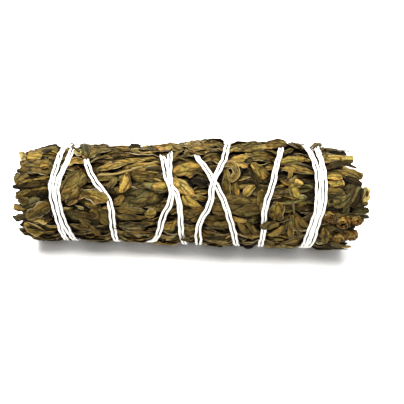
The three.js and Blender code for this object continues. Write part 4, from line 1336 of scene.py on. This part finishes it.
def leaf_material():
    """A dried leaf, streaked and wrinkled, with a pale rib; its creases, wrinkles and deep parts get painted
    shade, its ridges and pale streaks painted highlights, and its rim painted shade or a painted highlight.
    """
    g = Graph("dried_sage_leaf")
    place = g.attribute("own_place")
    edge = g.attribute("edge", "Fac")
    back = g.attribute("back", "Fac")
    relief = g.attribute("relief", "Fac")
    deep = g.attribute("sunk_shade", "Fac")
    parts = g.add("ShaderNodeSeparateXYZ")
    g.link(place, parts.inputs[0])
    from_rib = g.maths("ABSOLUTE", parts.outputs["Y"], 0.0)
    chance = g.white_noise(parts.outputs["Z"])
    streaks = g.noise(g.scaled(place, (0.30, 1.1, 1.0)), 1.0, detail=4, roughness=0.6)
    patches = g.noise(g.scaled(place, (0.28, 0.40, 1.0)), 1.0, detail=2)
    hues = g.noise(g.scaled(place, (0.22, 0.45, 3.0)), 1.0, detail=2)
    flecks = g.noise(place, 1.6, detail=3)
    pebbles = g.voronoi(place, 1.9)
    wrinkles = g.voronoi(g.bent(place, (0.16, 0.50, 1.0), 0.6), 1.0, "DISTANCE_TO_EDGE")
    net = g.voronoi(g.bent(place, (0.8, 1.3, 1.0), 0.3), 1.0, "DISTANCE_TO_EDGE")

    colour = g.attribute("leaf_colour", "Color")
    channels = g.add("ShaderNodeSeparateColor")
    g.link(colour, channels.inputs[0])
    pale = g.ranged(channels.outputs[0], 0.02, 0.12, 0.1, 1.0)
    colour = g.mixed(1.0, colour, g.mixed(g.ranged(hues, 0.35, 0.65, 0, 1), (1.12, 0.97, 0.76),
                                          (0.91, 1.02, 0.92)), "MULTIPLY")
    colour = g.dimmed(colour, g.ranged(streaks, 0.3, 0.7, 0.64, 1.38))
    colour = g.dimmed(colour, g.ranged(flecks, 0.3, 0.7, 0.76, 1.24))
    # Painted shade in the hollows of the leaf's folds and painted highlight on their ridges.
    colour = g.dimmed(colour, g.ranged(relief, -0.7, 0.5, 0.54, 1.22))
    # Painted shade along the wrinkles' creases.
    colour = g.dimmed(colour, g.ranged(wrinkles, 0.0, 0.10, 0.24, 1.09))
    colour = g.dimmed(colour, g.ranged(net, 0.0, 0.12, 0.74, 1.06))
    colour = g.tinted(g.ranged(patches, 0.5, 0.66, 0.0, 0.85), colour, (0.56, 0.43, 0.34))
    colour = g.tinted(g.ranged(from_rib, 0.06, 0.2, 0.3, 0.0), colour, (1.5, 1.45, 1.5))
    # Painted highlight: on pale leaves the high streaks turn a pale beige.
    streak_highlight = g.maths("MULTIPLY", pale, g.ranged(streaks, 0.56, 0.74, 0.0, 0.42))
    colour = g.mixed(streak_highlight, colour, (0.32, 0.24, 0.11))
    # A leaf's rim is painted dark, as the shade in the slit beside it, or pale, as a highlight on its edge.
    rim_painted_shade = g.mixed(1.0, colour, (0.32, 0.23, 0.17), "MULTIPLY")
    rim_highlight_share = g.maths("MULTIPLY", pale, g.ranged(hues, 0.38, 0.62, 0.14, 0.72))
    rim_painted_highlight = g.mixed(rim_highlight_share, colour, (0.42, 0.34, 0.225))
    rim = g.ranged(edge, 0.76, 0.98, 0.0, 1.0)
    colour = g.mixed(rim, colour, g.mixed(g.ranged(chance, 0.42, 0.47, 0, 1), rim_painted_shade, rim_painted_highlight))
    # Painted shade: the deeper a point lies in the bunch, the darker it is.
    colour = g.tinted(g.ranged(deep, 0.15, 1.2, 0.0, 1.0), colour, (0.14, 0.10, 0.04))
    colour = g.tinted(g.maths("MULTIPLY", back, 0.5), colour, (0.84, 0.86, 1.05))
    g.link(colour, g.shader.inputs["Base Color"])
    g.link(g.ranged(streaks, 0.2, 0.8, 0.5, 0.75), g.shader.inputs["Roughness"])
    g.shader.inputs["Specular IOR Level"].default_value = 0.09
    veins = g.ranged(from_rib, 0.0, 0.2, 1.0, 0.0)
    normal = g.bumped(g.ranged(wrinkles, 0.0, 0.2, 0.0, 1.0), 0.00022, 0.9)
    normal = g.bumped(streaks, 0.00018, 0.9, normal)
    normal = g.bumped(pebbles, 0.00009, 0.6, normal)
    g.link(g.bumped(veins, 0.00012, 0.7, normal), g.shader.inputs["Normal"])
    return g.material


def bark_material():
    """Fibrous bark of stems and twigs."""
    g = Graph("dried_sage_stem")
    place = g.attribute("own_place")
    fibres = g.noise(g.scaled(place, (0.5, 3.0, 1.0)), 1.0, detail=4)
    colour = g.dimmed(g.attribute("leaf_colour", "Color"), g.ranged(fibres, 0.3, 0.7, 0.6, 1.35))
    g.link(colour, g.shader.inputs["Base Color"])
    g.shader.inputs["Roughness"].default_value = 0.7
    g.link(g.bumped(fibres, 0.0002, 0.8), g.shader.inputs["Normal"])
    return g.material


def inside_material():
    """The inside between the leaves, painted near-black as shade and mottled."""
    g = Graph("dried_sage_inside")
    shade_mottle = g.noise(g.attribute("own_place"), 1.2, detail=5)
    low, high = (0.010, 0.007, 0.004), (0.040, 0.028, 0.014)
    g.link(g.mixed(g.ranged(shade_mottle, 0.35, 0.7, 0, 1), low, high), g.shader.inputs["Base Color"])
    g.shader.inputs["Roughness"].default_value = 0.9
    g.link(g.bumped(shade_mottle, 0.0004, 1.0), g.shader.inputs["Normal"])
    return g.material


def cotton_material():
    """White cotton, with fine fibres and worn patches."""
    g = Graph("cotton_string")
    place = g.attribute("own_place")
    fibres = g.noise(g.scaled(place, (2.2, 1.1, 1.0)), 1.0, detail=4, roughness=0.65)
    worn = g.noise(g.scaled(place, (0.15, 0.3, 1.0)), 1.0)
    colour = g.mixed(g.ranged(fibres, 0.3, 0.7, 0, 1), (0.65, 0.625, 0.58), (0.85, 0.835, 0.80))
    colour = g.mixed(g.ranged(worn, 0.5, 0.75, 0, 0.35), colour, (0.74, 0.69, 0.58))
    g.link(colour, g.shader.inputs["Base Color"])
    g.shader.inputs["Roughness"].default_value = 0.85
    g.shader.inputs["Specular IOR Level"].default_value = 0.2
    g.shader.inputs["Sheen Weight"].default_value = 0.25
    g.link(g.bumped(fibres, 0.00015, 0.8), g.shader.inputs["Normal"])
    return g.material


# The floor, the light and the camera

def build_floor():
    """A pale floor."""
    bpy.ops.mesh.primitive_plane_add(size=6, location=(0, 0, 0))
    floor = bpy.context.object
    floor.name = "floor"
    g = Graph("floor")
    grain = g.noise(g.add("ShaderNodeTexCoord").outputs["Object"], 40, detail=2)
    dark, light = ((grey, grey, grey) for grey in FLOOR_GREYS)
    g.link(g.mixed(g.ranged(grain, 0.3, 0.7, 0, 1), dark, light), g.shader.inputs["Base Color"])
    g.shader.inputs["Roughness"].default_value = 0.9
    g.shader.inputs["Specular IOR Level"].default_value = 0.1
    floor.data.materials.append(g.material)


def build_light():
    """A bright soft light overhead, a little behind the bunch, and a paler room around it."""
    world = bpy.data.worlds.new("room")
    bpy.context.scene.world = world
    world.use_nodes = True
    tree = world.node_tree
    background = tree.nodes["Background"]
    background.inputs["Color"].default_value = (1, 1, 1, 1)
    coordinates = tree.nodes.new("ShaderNodeTexCoord")
    parts = tree.nodes.new("ShaderNodeSeparateXYZ")
    height = tree.nodes.new("ShaderNodeMapRange")
    height.inputs["From Min"].default_value = 0.0
    height.inputs["From Max"].default_value = ROOM_HEIGHT
    height.inputs["To Min"].default_value, height.inputs["To Max"].default_value = ROOM_LIGHT
    tree.links.new(coordinates.outputs["Generated"], parts.inputs[0])
    tree.links.new(parts.outputs["Z"], height.inputs["Value"])
    tree.links.new(height.outputs["Result"], background.inputs["Strength"])
    lamp = bpy.data.lights.new("overhead", "AREA")
    lamp.shape = "DISK"
    lamp.size = LAMP_SIZE
    lamp.energy = LAMP_POWER
    lamp.color = LAMP_COLOUR
    holder = bpy.data.objects.new("overhead", lamp)
    bpy.context.scene.collection.objects.link(holder)
    place = np.array(LAMP_PLACE)
    aim_along(holder, place, -unit(place))


def aim_along(thing, place, inwards, right=None):
    """Puts a lamp or camera there, looking inwards."""
    if right is None:
        right = unit(np.cross(inwards, (0, 0, 1)))
    up = np.cross(right, inwards)
    axes = np.stack([right, up, -np.asarray(inwards), place], 1)
    thing.matrix_world = Matrix(axes.tolist() + [[0, 0, 0, 1]])


def build_camera():
    """The camera where the picture was taken from."""
    right, _, inwards = picture_axes()
    data = bpy.data.cameras.new("camera")
    data.lens = LENS
    data.sensor_width = SENSOR
    data.clip_start = 0.01
    camera = bpy.data.objects.new("camera", data)
    bpy.context.scene.collection.objects.link(camera)
    aim_along(camera, camera_place() * MM, inwards, right)
    bpy.context.scene.camera = camera


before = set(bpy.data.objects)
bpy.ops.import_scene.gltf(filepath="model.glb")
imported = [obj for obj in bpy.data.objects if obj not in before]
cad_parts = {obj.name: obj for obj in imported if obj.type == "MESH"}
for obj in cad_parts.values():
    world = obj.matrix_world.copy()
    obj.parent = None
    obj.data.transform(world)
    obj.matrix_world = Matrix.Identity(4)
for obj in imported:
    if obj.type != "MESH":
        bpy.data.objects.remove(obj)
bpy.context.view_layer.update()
sage = [leaf_material(), bark_material(), inside_material()]
cotton = cotton_material()
for k in range(OUTER_SPRIGS):
    piece = outer_sprig(k, sage)
    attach(piece, "root")
    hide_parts(f"outer_sprig_{k + 1:02d}")
for k in range(INNER_SPRIGS):
    piece = inner_sprig(k, sage)
    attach(piece, "root")
    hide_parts(f"inner_sprig_{k + 1}")
strands = cotton_string(cotton)
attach(strands, "root")
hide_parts("cotton_string")
fuzz = string_fuzz(cotton)
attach(fuzz, "root")
bpy.context.scene.view_settings.view_transform = "Standard"
bpy.context.scene.view_settings.look = "Medium High Contrast"
build_floor()
build_light()
build_camera()
